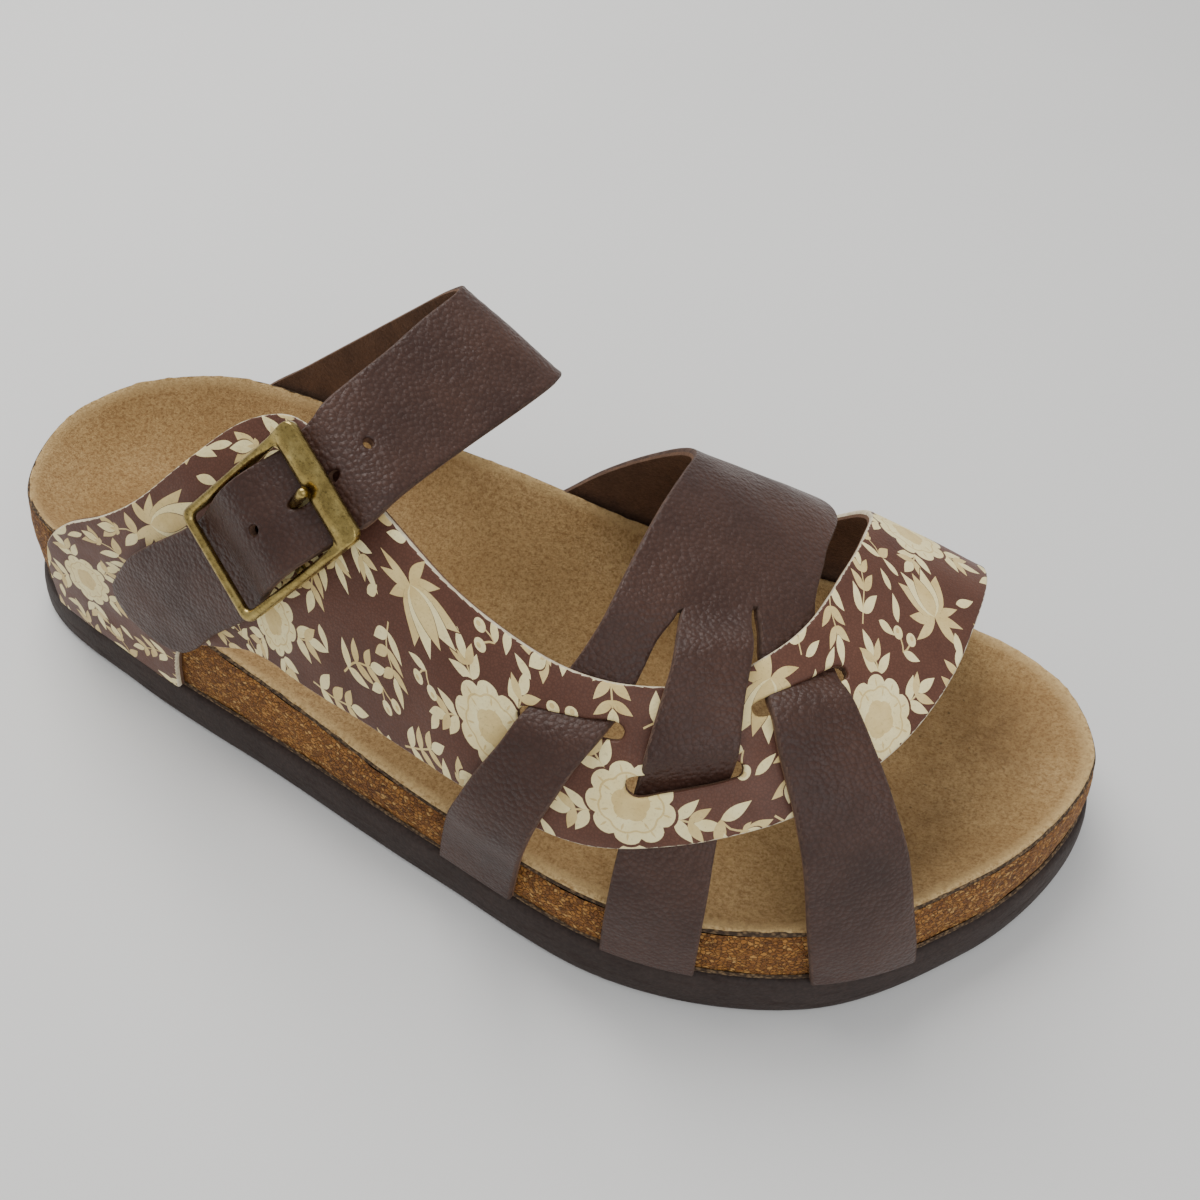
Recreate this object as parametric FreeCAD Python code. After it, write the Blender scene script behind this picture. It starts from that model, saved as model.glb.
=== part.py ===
"""Right-foot cork-footbed sandal: woven finger strap, printed side panel and one buckled instep strap.

Frame: +X towards the toe, +Z up, -Y the outer (buckle) side of the foot, +Y the inner side.
The origin is at the middle of the bounding box on the ground.  Sizes are in millimetres.

The upper parts all lie on one foot form.  A place on it is (x, t): x is the station along the foot and t
runs round the foot in degrees, from 0 at the outer foot of the sole wall to 180 at the inner one.
"""
import FreeCAD, Part
import math
import os

V = FreeCAD.Vector

# ---- driving dimensions -----------------------------------------------------------------------------
OUTSOLE_THICK = 10.0
OUTSOLE_DRAFT = 1.6          # how far the top edge of the outsole stands inside its ground edge
LOWER_JUTE_THICK = 0.8
CORK_BOTTOM = OUTSOLE_THICK + LOWER_JUTE_THICK
CORK_INSET = 2.8             # foot of the cork wall inside the ground edge
RIM_INSET = 4.4              # footbed rim inside the ground edge
SUEDE_THICK = 1.3
UPPER_JUTE_THICK = 0.9
CUP_CLIMB = 3.2              # how late the side of the footbed climbs to the rim
ARCH_CLIMB = 1.7             # and the same on the inner side of the waist

LEATHER_THICK = 1.1
LINING_THICK = 0.8
STRAP_THICK = LEATHER_THICK + LINING_THICK
GAP = 0.3                    # air between layers that lie on each other
ON_FORM = 0.3                # offset of the lowest layer
OVER_ONE = ON_FORM + STRAP_THICK + GAP
OVER_TWO = OVER_ONE + STRAP_THICK + GAP

FORM_POWER = 2.4
FORM_BASE = OUTSOLE_THICK
FORM_INSET = 2.8

TREAD_PITCH = 7.0
TREAD_DEEP = 1.6
TREAD_WIDE = 2.4
TREAD_EDGE = 7.0

# ground outline of the outsole with the height of the footbed rim: (x, y, rim)
SOLE = [
    (-126.5, 7.5, 34), (-118, 29, 36), (-93, 42, 38), (-51.5, 39.5, 41), (-13.5, 37, 41.5), (20.5, 41, 33),
    (57, 51, 24), (91, 53.5, 21), (116, 43.5, 22.5), (126.5, 23, 24.5), (122.5, 2.5, 25.5), (109, -20, 26),
    (83.5, -43.5, 25), (47, -53.5, 22.5), (5, -47.5, 21.5), (-36.5, -39, 27), (-79.5, -30.5, 33),
    (-114, -18.5, 34)]

# foot form: (x, crest height, sideways lean of the crest)
FORM = [(-90, 83, 0), (-48, 86.5, 4), (-6, 82.5, 6), (36, 68, 8), (77, 53.5, 6), (103, 45, 4)]

# strap edges as rows across each strap: ((x, t) of one edge, (x, t) of the other, offset from the form)
PANEL = [
    ((-103, 0.2), (-64, 0.2), ON_FORM), ((-101.5, 8), (-62.5, 4.5), ON_FORM), ((-98, 15), (-60.5, 8), ON_FORM),
    ((-90, 22), (-54, 12), ON_FORM), ((-78, 28.5), (-46, 15), ON_FORM), ((-66, 37), (-39, 17.5), ON_FORM),
    ((-54, 50), (-33, 18), ON_FORM), ((-44, 62), (-27, 17.5), ON_FORM), ((-35, 67), (-20, 17.5), ON_FORM),
    ((-24, 63), (-10, 18), ON_FORM), ((-10, 57), (2, 18.5), 0.8), ((4, 52), (13, 20), 2.2),
    ((17, 50.5), (26, 21.5), OVER_ONE), ((28, 51.5), (38, 24), OVER_ONE), ((39, 55.5), (50, 30), OVER_ONE),
    ((49, 62), (60, 36.5), OVER_ONE), ((56, 71.5), (69, 44), OVER_ONE), ((60, 80), (77, 54.5), OVER_ONE),
    ((62, 88.5), (83, 66), OVER_ONE), ((63.5, 98), (87, 80), OVER_ONE), ((64, 108), (89, 95), OVER_ONE),
    ((64, 118), (89.5, 110), OVER_ONE), ((62.5, 128), (89, 124), 2.0), ((58.5, 140), (88.5, 138), 1.1),
    ((51.5, 152), (88, 151), ON_FORM), ((43.5, 163), (87.5, 162.5), ON_FORM), ((36.5, 172), (87, 172), ON_FORM),
    ((31, 179.8), (86.5, 179.8), ON_FORM)]
FINGER_ROOT = [
    ((-28, 179.8), (16, 179.8), ON_FORM), ((-23, 175), (19.5, 173), ON_FORM), ((-15, 171), (24, 167), ON_FORM),
    ((-4, 164), (31, 158), ON_FORM), ((6, 154), (38, 149), ON_FORM), ((14, 145), (44.5, 140), ON_FORM),
    ((20.5, 136), (51, 130), ON_FORM), ((26, 125), (56, 121), ON_FORM), ((29, 114), (58.5, 113), ON_FORM),
    ((29.5, 102), (59, 105.5), ON_FORM), ((29.2, 90), (59, 99), 0.4), ((29, 78), (59.5, 94), 0.6)]
ROOT_END = ((28.5, 64), (60.5, 86), 1.0)
FINGER_A = [
    ((27.6, 57.5), (38.2, 65), 0.5), ((26.4, 52), (37.8, 58.5), ON_FORM), ((25, 48), (37.4, 53.5), ON_FORM),
    ((23.2, 43.8), (37, 48.8), 0.4), ((22, 40.5), (36, 45.5), 2.5), ((20.6, 37), (34.8, 42), 4.6),
    ((19, 32.5), (33, 37), OVER_TWO), ((16.5, 26.5), (31, 29.5), OVER_TWO), ((14.2, 20.5), (29, 22), OVER_TWO),
    ((12, 15.5), (27.6, 16), 3.9), ((10, 10.5), (26.2, 10.5), 2.0), ((8.3, 5.5), (25, 5.5), 0.6),
    ((7, 0.2), (24, 0.2), ON_FORM)]
FINGER_B = [
    ((40.6, 67), (51.6, 75), 2.5), ((41.1, 63), (52.4, 71.5), 4.4), ((41.6, 59.5), (53.2, 67.5), OVER_TWO),
    ((42, 54), (54.3, 61), OVER_TWO), ((42.4, 48.5), (55.5, 56), OVER_TWO), ((42.6, 45), (56.2, 53), 4.6),
    ((42.8, 41.5), (56.8, 50), 2.5), ((43, 38), (57.3, 46.5), 0.4), ((43.1, 33), (58, 40), ON_FORM),
    ((43.2, 26), (59, 31), ON_FORM), ((43.3, 19), (60, 22), ON_FORM), ((43.4, 9), (60.8, 10), ON_FORM),
    ((43.4, 0.2), (61.2, 0.2), ON_FORM)]
FINGER_C = [
    ((53.4, 76), (62.2, 82), 0.5), ((55, 71.5), (64.5, 79), ON_FORM), ((57, 67.3), (67, 76.5), 0.4),
    ((58.4, 63), (69, 72), 2.5), ((60, 59.5), (71, 69), 4.6), ((62, 55.5), (73.8, 65.5), OVER_TWO),
    ((65.2, 50), (77, 61), OVER_TWO), ((68, 45), (80.3, 56), OVER_TWO), ((70.2, 40.5), (84, 49.5), 4.3),
    ((72.5, 35.5), (87.8, 42), 3.2), ((74.8, 29), (91, 33), 1.8), ((77, 21), (93.8, 22.5), 0.8),
    ((79.3, 11), (96.5, 10.5), ON_FORM), ((81.5, 0.2), (98.2, 0.2), ON_FORM)]
FINGER_SHARES = ((0.0, 0.345), (0.36, 0.70), (0.715, 1.0))   # of the end of the root, for fingers A, B, C

FINGER_NAMES = ("rear_finger", "middle_finger", "front_finger")

# slots in the panel: the four corners of each, and the round ends
SLOTS = [
    ((21.4, 44.2), (38, 49.4), (18.8, 34), (35.4, 38.8)), ((41.4, 48.3), (57, 56.6), (42, 36.4), (58.4, 45)),
    ((56.2, 68.2), (68, 77.6), (58.9, 56), (73, 66.6))]
SLOT_ENDS = [(37.8, 45.2), (42.2, 38.6), (58, 48.6), (57.4, 62), (69, 76)]
SLOT_END_RADIUS = 2.2

# instep strap: rows on the foot of the form, then its underside row by row, heel-side and toe-side edge
INSTEP_FOOT = [((-95, 179.8), (-46, 179.8), ON_FORM), ((-91, 172), (-42.5, 172), ON_FORM),
               ((-87, 166), (-38.5, 166), ON_FORM)]
INSTEP = [
    ((-70.8, 37.9, 46.5), (-28.8, 34.5, 43.6)),
    ((-54.5, 36, 60.5), (-19.4, 32.8, 54.2)), ((-40, 34.2, 73), (-11, 31.1, 64)),
    ((-30, 32.6, 81.6), (-5, 29.6, 70.4)), ((-25.2, 30.2, 85.4), (-1.8, 27.4, 73.1)),
    ((-23.8, 25.5, 86.9), (-1.4, 22.6, 74.5)), ((-25.4, 16, 86.9), (-3.7, 13.5, 74.7)),
    ((-26.8, 5, 86.6), (-7.2, 2, 74.7)), ((-28.4, -5.2, 86.5), (-9.6, -9, 75.6)),
    ((-29.4, -13.2, 86.3), (-11.4, -20.4, 76.8))]
BUCKLE_PLACE = (-31.7, 46.1)
BUCKLE_TAILWARD = (-0.631, -0.244, -0.736)
# the strap in the buckle: (along, half width, height of the lining's underside, rise of its heel-side edge)
STRAP_IN_BUCKLE = [
    (-16, 10.7, 1.9, -0.9), (-13, 10, 2.2, -0.3), (-10, 9.7, 2.5, 0), (-7.5, 9.7, 3.4, 0), (-5, 9.7, 5.0, 0),
    (-2, 9.7, 6.5, 0), (1, 9.7, 7.1, 0), (4, 9.7, 6.6, 0), (7.5, 9.7, 5.2, 0), (10, 9.7, 3.8, 0.3),
    (12.5, 9.7, 2.5, 0.6), (15, 9.8, 2.0, 0.7), (18.5, 10.2, 1.6, 0.9)]
TAIL = [((-66, 26.5), (-46, 18.5), 2.8), ((-71.5, 20.5), (-52, 13.2), 2.6)]
TAIL_TIP = ((-77, 13.5), (-60, 8.6), 2.6)
TAIL_ROUND = 8.5
HOLE_RADIUS = 0.95
HOLES = (-16.2, -8.5, 9.2)   # distances from the hole that the prong goes through
PRONG_HOLE = -6.9

FRAME_WIDE = 24.4            # across the strap
FRAME_LONG = 32.0            # along the strap
FRAME_LOW = 3.9              # underside and top of the rails above the form
FRAME_HIGH = 7.0
RAIL = 2.1
WIDE_BAR = 5.8
WIDE_BAR_LOW = 5.1
NEAR_BAR_LOW = 5.0
FRAME_CORNER = 3.6
NOTCH_RADIUS = 1.1
PIVOT_HEIGHT = 4.7
PIVOT_RADIUS = 1.0
PIVOT_CLEAR = 0.05
EYE_RADIUS = 1.8
EYE_WIDE = 2.4
PRONG_RADIUS = 0.8
PRONG = ((-0.8, 4.75), (-5.2, 4.9), (-9.9, 6.95), (-13.0, 6.95))
PRONG_FREE = 0.75            # room round the prong in the strap's hole
LOOP_WIDE = 9.0
LOOP_THICK = 0.75
LOOP_LONG = 8.0
LOOP_FLOOR = 2.72
RIVET_AT = (5.4, 2.7)        # along, and either side
RIVET_HEAD = (1.9, 0.7)
RIVET_SHANK = 0.8
RIVET_BACK = 0.6


# ---- smooth curves ----------------------------------------------------------------------------------
def slope(xs, ys, k):
    """Slope of the smooth curve at its k-th point."""
    low = max(k - 1, 0)
    high = min(k + 1, len(xs) - 1)
    return (ys[high] - ys[low]) / (xs[high] - xs[low])


def smooth(xs, ys, x):
    """Value at x of a smooth curve through the points (xs, ys), straight beyond its ends."""
    last = len(xs) - 1
    if x <= xs[0]:
        return ys[0] + slope(xs, ys, 0) * (x - xs[0])
    if x >= xs[last]:
        return ys[last] + slope(xs, ys, last) * (x - xs[last])
    i = max(k for k in range(last) if xs[k] <= x)
    span = xs[i + 1] - xs[i]
    u = (x - xs[i]) / span
    start = slope(xs, ys, i) * span
    end = slope(xs, ys, i + 1) * span
    return ((2 * u**3 - 3 * u**2 + 1) * ys[i] + (u**3 - 2 * u**2 + u) * start
            + (3 * u**2 - 2 * u**3) * ys[i + 1] + (u**3 - u**2) * end)


def closed_curve(points, count):
    """Points spread evenly along a smooth closed curve through the given ones."""
    size = len(points)
    at = [0.0]
    for k in range(size):
        here, there = points[k], points[(k + 1) % size]
        at.append(at[-1] + math.hypot(there[0] - here[0], there[1] - here[1]))
    total = at[size]
    knots = [(at[k % size] + total * (k // size), points[k % size]) for k in range(-3, size + 4)]
    xs = [knot[0] for knot in knots]
    columns = [[knot[1][c] for knot in knots] for c in range(len(points[0]))]
    return [tuple(smooth(xs, column, total * j / count) for column in columns) for j in range(count)]


CURVE = closed_curve(SOLE, 360)


def wall_y(x, side):
    """Where the ground outline crosses station x; side is -1 for the outer side, 1 for the inner one."""
    found = []
    for k, here in enumerate(CURVE):
        there = CURVE[(k + 1) % len(CURVE)]
        if (here[0] - x) * (there[0] - x) <= 0 and here[0] != there[0]:
            found.append(here[1] + (there[1] - here[1]) * (x - here[0]) / (there[0] - here[0]))
    return side * max(side * y for y in found)


STATION_STEP = 2.0
STATIONS = [-122 + STATION_STEP * k for k in range(122)]
WALLS = {side: [wall_y(x, side) for x in STATIONS] for side in (-1, 1)}


def wall(x, side):
    """wall_y from the table of stations."""
    place = min(max((x - STATIONS[0]) / STATION_STEP, 0), len(STATIONS) - 2)
    k = int(place)
    return WALLS[side][k] + (WALLS[side][k + 1] - WALLS[side][k]) * (place - k)


# ---- the foot form ----------------------------------------------------------------------------------
def form(x, t):
    """Point on the foot form."""
    stations = [row[0] for row in FORM]
    crest = smooth(stations, [row[1] for row in FORM], x)
    lean = smooth(stations, [row[2] for row in FORM], x)
    low = wall(x, -1) + FORM_INSET
    high = wall(x, 1) - FORM_INSET
    c = math.cos(math.radians(t))
    rise = abs(math.sin(math.radians(t))) ** (2 / FORM_POWER)
    reach = math.copysign(abs(c) ** (2 / FORM_POWER), c)
    return V(x, (low + high) / 2 - reach * (high - low) / 2 + lean * rise**2,
             FORM_BASE + (crest - FORM_BASE) * rise)


def outward(x, t):
    """Unit normal of the foot form."""
    t = min(max(t, 1.5), 178.5)
    along = form(x + 1, t) - form(x - 1, t)
    around = form(x, t + 1) - form(x, t - 1)
    return around.cross(along).normalize() * -1


def on_form(x, t, offset):
    return form(x, t) + outward(x, t) * offset


# ---- sheets -----------------------------------------------------------------------------------------
def sheet_solid(lower, upper):
    """Closed solid between two grids of points of the same size."""
    surfaces = []
    for grid in (lower, upper):
        surface = Part.BSplineSurface()
        surface.interpolate(grid)
        surfaces.append(surface)
    rims = []
    for surface in surfaces:
        u0, u1, v0, v1 = surface.bounds()
        rims.append([surface.uIso(u0), surface.uIso(u1), surface.vIso(v0), surface.vIso(v1)])
    faces = [surface.toShape() for surface in surfaces]
    faces += [low.makeRuledSurface(high).toShape() for low, high in zip(*rims)]
    shell = Part.makeShell(faces)
    shell.sewShape()
    solid = Part.makeSolid(shell)
    if solid.Volume < 0:
        solid.reverse()
    return solid


def smooth_rows(rows, spacing):
    """Rows filled in smoothly along a strap, evenly spaced along its middle."""
    middles = [on_form((row[0][0] + row[1][0]) / 2, (row[0][1] + row[1][1]) / 2, row[2]) for row in rows]
    at = [0.0]
    for here, there in zip(middles, middles[1:]):
        at.append(at[-1] + (there - here).Length)
    columns = [[row[0][0] for row in rows], [row[0][1] for row in rows], [row[1][0] for row in rows],
               [row[1][1] for row in rows], [row[2] for row in rows]]
    count = max(round(at[-1] / spacing), 3)
    return [[smooth(at, column, at[-1] * j / count) for column in columns] for j in range(count + 1)]


def even_grid(grid, spacing):
    """The same surface with its rows spaced evenly along the middle."""
    middles = [row[len(row) // 2] for row in grid]
    at = [0.0]
    for here, there in zip(middles, middles[1:]):
        at.append(at[-1] + (there - here).Length)
    count = round(at[-1] / spacing)
    tracks = [[[point[c] for point in track] for c in range(3)] for track in zip(*grid)]
    return [[V(*[smooth(at, values, at[-1] * j / count) for values in track]) for track in tracks]
            for j in range(count + 1)]


def across(row, extra, columns):
    """Points across one row of a strap, at an extra offset."""
    x0, t0, x1, t1, offset = row
    points = []
    for k in range(columns):
        f = k / (columns - 1)
        points.append(on_form(x0 + (x1 - x0) * f, t0 + (t1 - t0) * f, offset + extra))
    return points


def strap_grid(rows, extra, spacing=3.5, columns=7):
    """Grid of points of one face of a strap."""
    return [across(row, extra, columns) for row in smooth_rows(rows, spacing)]


def layers(grid_at):
    """Lining and outer leather of one strap, from the function that gives its grid at an extra offset."""
    faces = [grid_at(extra) for extra in (0.0, LINING_THICK, STRAP_THICK)]
    return [sheet_solid(faces[0], faces[1]), sheet_solid(faces[1], faces[2])]


# ---- sole -------------------------------------------------------------------------------------------
def inset_curve(inset, z, count=120):
    """Closed wire of the outline, moved inwards and lifted to z."""
    curve = closed_curve(SOLE, count)
    points = []
    for k, (x, y, rim) in enumerate(curve):
        before, after = curve[k - 1], curve[(k + 1) % count]
        along = V(after[0] - before[0], after[1] - before[1], 0).normalize()
        points.append(V(x + along.y * inset, y - along.x * inset, z))
    spline = Part.BSplineCurve()
    spline.interpolate(Points=points, PeriodicFlag=True)
    return Part.Wire(spline.toShape())


def block(inset_low, z_low, inset_high, z_high):
    """Solid between two inset outlines at two heights."""
    return Part.makeLoft([inset_curve(inset_low, z_low), inset_curve(inset_high, z_high)], True, True)


def polar_edge(cx, cy, dx, dy):
    """Distance and rim height of the footbed edge from (cx, cy) in a direction."""
    best = None
    for k, here in enumerate(CURVE):
        there = CURVE[(k + 1) % len(CURVE)]
        ax, ay = here[0] - cx, here[1] - cy
        bx, by = there[0] - cx, there[1] - cy
        side_a, side_b = dx * ay - dy * ax, dx * by - dy * bx
        if side_a * side_b <= 0 and side_a != side_b:
            f = side_a / (side_a - side_b)
            reach = dx * (ax + (bx - ax) * f) + dy * (ay + (by - ay) * f)
            if reach > 0 and (best is None or reach < best[0]):
                best = (reach, here[2] + (there[2] - here[2]) * f)
    return best


SPINE = [(-88, 4.0), (-50, 1.0), (0, -4.0), (40, -4.0), (70, 2.0)]
FLOOR = [(-110, 20.5), (-80, 19.5), (-30, 21.5), (10, 20), (45, 17.5), (80, 17.0), (120, 19)]
PADS = [(8, 20, 1.6), (76, 7, 1.5)]     # metatarsal pad and toe bar: (place, width, height)


def bed_height(x, y):
    """Height of the suede footbed at (x, y)."""
    xs = [p[0] for p in SPINE]
    cx = min(max(x, xs[0]), xs[-1])
    cy = smooth(xs, [p[1] for p in SPINE], cx)
    dx, dy = x - cx, y - cy
    far = math.hypot(dx, dy)
    floor = smooth([p[0] for p in FLOOR], [p[1] for p in FLOOR], x)
    if far < 0.01:
        return floor
    reach, rim = polar_edge(cx, cy, dx / far, dy / far)
    share = min(far / (reach - RIM_INSET), 1)
    arch = math.exp(-((x + 25) / 38.0) ** 2) * min(max(dy / far, 0), 1)
    climb = share ** (CUP_CLIMB + (ARCH_CLIMB - CUP_CLIMB) * arch)
    pads = 0.0
    for place, width, height in PADS:
        pads += height * math.exp(-((x - place + 0.15 * y) / width) ** 2)
    return floor + (rim - floor) * climb + pads * (1 - share**2)


def outline_quarters(inset, across_count, along_count):
    """The inset outline as four runs of points: outer side, inner side, heel and toe."""
    total = 2 * (across_count + along_count)
    curve = closed_curve(SOLE, total)
    points = []
    for k, (x, y, rim) in enumerate(curve):
        before, after = curve[k - 1], curve[(k + 1) % total]
        along = V(after[0] - before[0], after[1] - before[1], 0).normalize()
        points.append(V(x + along.y * inset, y - along.x * inset, rim))
    start = across_count // 2
    ring = points[start:] + points[:start + 1]
    inner = ring[:along_count + 1]
    toe = ring[along_count:along_count + across_count + 1][::-1]
    outer = ring[along_count + across_count:2 * along_count + across_count + 1][::-1]
    heel = ring[2 * along_count + across_count:]
    return outer, inner, heel, toe


def sole_grid(inset, height, across_count=14, along_count=40):
    """Grid of points that fills the inset outline; height gives z from (x, y)."""
    outer, inner, heel, toe = outline_quarters(inset, across_count, along_count)
    grid = []
    for i in range(along_count + 1):
        u = i / along_count
        row = []
        for j in range(across_count + 1):
            v = j / across_count
            point = outer[i] * (1 - v) + inner[i] * v + heel[j] * (1 - u) + toe[j] * u
            point = point - outer[0] * ((1 - u) * (1 - v)) - inner[0] * ((1 - u) * v)
            point = point - outer[-1] * (u * (1 - v)) - inner[-1] * (u * v)
            row.append(V(point.x, point.y, height(point.x, point.y)))
        grid.append(row)
    return grid


def sole_parts():
    """Outsole, jute, cork, jute and suede, from the ground up."""
    outsole = block(0, 0, OUTSOLE_DRAFT, OUTSOLE_THICK)
    grooves = []
    for k in range(-16, 17):
        x = k * TREAD_PITCH
        low, high = wall(x, -1) + TREAD_EDGE, wall(x, 1) - TREAD_EDGE
        groove = Part.makeBox(TREAD_WIDE, high - low, TREAD_DEEP, V(x - TREAD_WIDE / 2, low, 0))
        grooves.append(groove)
    outsole = outsole.cut(grooves)
    jute = block(CORK_INSET + 0.1, OUTSOLE_THICK, CORK_INSET + 0.1, CORK_BOTTOM)
    base = sole_grid(CORK_INSET, lambda x, y: CORK_BOTTOM)
    beds = [sole_grid(RIM_INSET, lambda x, y: bed_height(x, y) - drop)
            for drop in (SUEDE_THICK + UPPER_JUTE_THICK, SUEDE_THICK, 0)]
    return {"outsole": outsole, "lower_jute_layer": jute, "cork_footbed": sheet_solid(base, beds[0]),
            "upper_jute_layer": sheet_solid(beds[0], beds[1]), "suede_liner": sheet_solid(beds[1], beds[2])}


# ---- panel and finger strap -------------------------------------------------------------------------
def slot_cutter(corners):
    """Prism through the panel under a four-cornered place on the form."""
    a, b, c, d = corners
    grids = []
    for offset in (1.2, 6.8):
        grid = []
        for i in range(4):
            f = i / 3
            left = [a[k] + (c[k] - a[k]) * f for k in (0, 1)]
            right = [b[k] + (d[k] - b[k]) * f for k in (0, 1)]
            grid.append(across((left[0], left[1], right[0], right[1], offset), 0, 5))
        grids.append(grid)
    return sheet_solid(grids[0], grids[1])


def panel_parts():
    """Printed side panel with its lining and slots."""
    cutters = [slot_cutter(corners) for corners in SLOTS]
    for x, t in SLOT_ENDS:
        cutters.append(Part.makeCylinder(SLOT_END_RADIUS, 6, on_form(x, t, 1.2), outward(x, t)))
    lining, leather = [layer.cut(cutters) for layer in layers(lambda extra: strap_grid(PANEL, extra))]
    return {"panel_lining": lining, "printed_panel": leather}


def root_end_share(start, end):
    """The part of the end of the root that one finger takes, as a row."""
    (x0, t0), (x1, t1), offset = ROOT_END
    ends = [(x0 + (x1 - x0) * share, t0 + (t1 - t0) * share) for share in (start, end)]
    return (*ends, offset)


def root_end_row(extra, start, end, columns=7):
    """Straight row of points where the root ends and the fingers start."""
    (x0, t0), (x1, t1), offset = ROOT_END
    normal = (outward(x0, t0) + outward(x1, t1)).normalize()
    here, there = form(x0, t0), form(x1, t1)
    shares = [start + (end - start) * k / (columns - 1) for k in range(columns)]
    return [here + (there - here) * share + normal * (offset + extra) for share in shares]


def finger_parts():
    """Finger strap: one root, and three fingers from where its slits start."""
    root = FINGER_ROOT + [ROOT_END]
    sheets = {"root": layers(lambda extra: strap_grid(root, extra)[:-1] + [root_end_row(extra, 0, 1)])}
    for name, rows, share in zip(FINGER_NAMES, (FINGER_A, FINGER_B, FINGER_C), FINGER_SHARES):
        rows = [root_end_share(*share)] + rows
        sheets[name] = layers(lambda extra: [root_end_row(extra, *share)] + strap_grid(rows, extra, 2.0)[1:])
    parts = {}
    for name, (lining, leather) in sheets.items():
        parts["finger_strap_" + name + "_lining"] = lining
        parts["finger_strap_" + name] = leather
    return parts


# ---- buckle and instep strap ------------------------------------------------------------------------
def buckle_frame_of_reference():
    """Origin and the three directions of the buckle: across, towards the tail, and away from the foot."""
    away = outward(*BUCKLE_PLACE)
    tail = V(*BUCKLE_TAILWARD)
    tail = (tail - away * tail.dot(away)).normalize()
    return form(*BUCKLE_PLACE), tail.cross(away), tail, away


ORIGIN, ACROSS, TAILWARD, AWAY = buckle_frame_of_reference()
BUCKLE_AXES = FreeCAD.Placement(FreeCAD.Matrix(
    ACROSS.x, TAILWARD.x, AWAY.x, ORIGIN.x, ACROSS.y, TAILWARD.y, AWAY.y, ORIGIN.y,
    ACROSS.z, TAILWARD.z, AWAY.z, ORIGIN.z, 0, 0, 0, 1))


def at_buckle(w, l, n):
    return ORIGIN + ACROSS * w + TAILWARD * l + AWAY * n


def placed(shape):
    """A shape made in the buckle's own frame, put where the buckle is."""
    shape.Placement = BUCKLE_AXES.multiply(shape.Placement)
    return shape


def instep_grid(columns=7):
    """Grid of the underside of the instep strap, through the buckle to the start of its rounded tail."""
    grid = [across((*a, *b, offset), 0, columns) for a, b, offset in INSTEP_FOOT]
    for rear, front in INSTEP:
        rear, front = V(*rear), V(*front)
        grid.append([rear + (front - rear) * (k / (columns - 1)) for k in range(columns)])
    at, halves, heights, tilts = zip(*STRAP_IN_BUCKLE)
    steps = 17
    for j in range(steps + 1):
        along = at[0] + (at[-1] - at[0]) * j / steps
        half, height, tilt = [smooth(at, values, along) for values in (halves, heights, tilts)]
        row = []
        for k in range(columns):
            side = 1 - 2 * k / (columns - 1)
            row.append(at_buckle(half * side, along, height + tilt * side))
        grid.append(row)
    grid += [across((*a, *b, offset), 0, columns) for a, b, offset in TAIL + [TAIL_TIP]]
    return even_grid(grid, 2.2)


def offset_grid(grid, extra):
    """The grid moved outwards along its own normals."""
    last, end = len(grid) - 1, len(grid[0]) - 1
    moved = []
    for i, row in enumerate(grid):
        ahead, behind = grid[min(i + 1, last)], grid[max(i - 1, 0)]
        places = []
        for j, point in enumerate(row):
            side = row[min(j + 1, end)] - row[max(j - 1, 0)]
            places.append(point + (ahead[j] - behind[j]).cross(side).normalize() * extra)
        moved.append(places)
    return moved


def tail_trim():
    """What is cut away to round the tail: everything past an arch across its end."""
    (x0, t0), (x1, t1), offset = TAIL_TIP
    here, there = form(x0, t0), form(x1, t1)
    middle = (here + there) * 0.5
    away = outward((x0 + x1) / 2, (t0 + t1) / 2)
    side = (there - here).normalize()
    forward = side.cross(away).normalize()
    if forward.x > 0:
        forward = forward * -1
    half = (there - here).Length / 2
    axes = FreeCAD.Placement(FreeCAD.Matrix(
        side.x, forward.x, away.x, middle.x, side.y, forward.y, away.y, middle.y,
        side.z, forward.z, away.z, middle.z, 0, 0, 0, 1))
    box = Part.makeBox(4 * half, 30, 30, V(-2 * half, -TAIL_ROUND, -12))
    arch = Part.makeCylinder(1, 30, V(0, 0, -12))
    stretch = FreeCAD.Matrix(half * 1.02, 0, 0, 0, 0, TAIL_ROUND, 0, -TAIL_ROUND, 0, 0, 1, 0, 0, 0, 0, 1)
    trim = box.cut(arch.transformGeometry(stretch))
    trim.Placement = axes
    return trim


def prong_solid(grow=0.0):
    """Prong round its pivot and on through the strap to the notch of the wide bar."""
    radius = PRONG_RADIUS + grow
    points = [V(0, l, n) for l, n in PRONG]
    pieces = [Part.makeSphere(radius, point) for point in points]
    for here, there in zip(points, points[1:]):
        pieces.append(Part.makeCylinder(radius, (there - here).Length, here, there - here))
    return pieces[0].fuse(pieces[1:])


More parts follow.
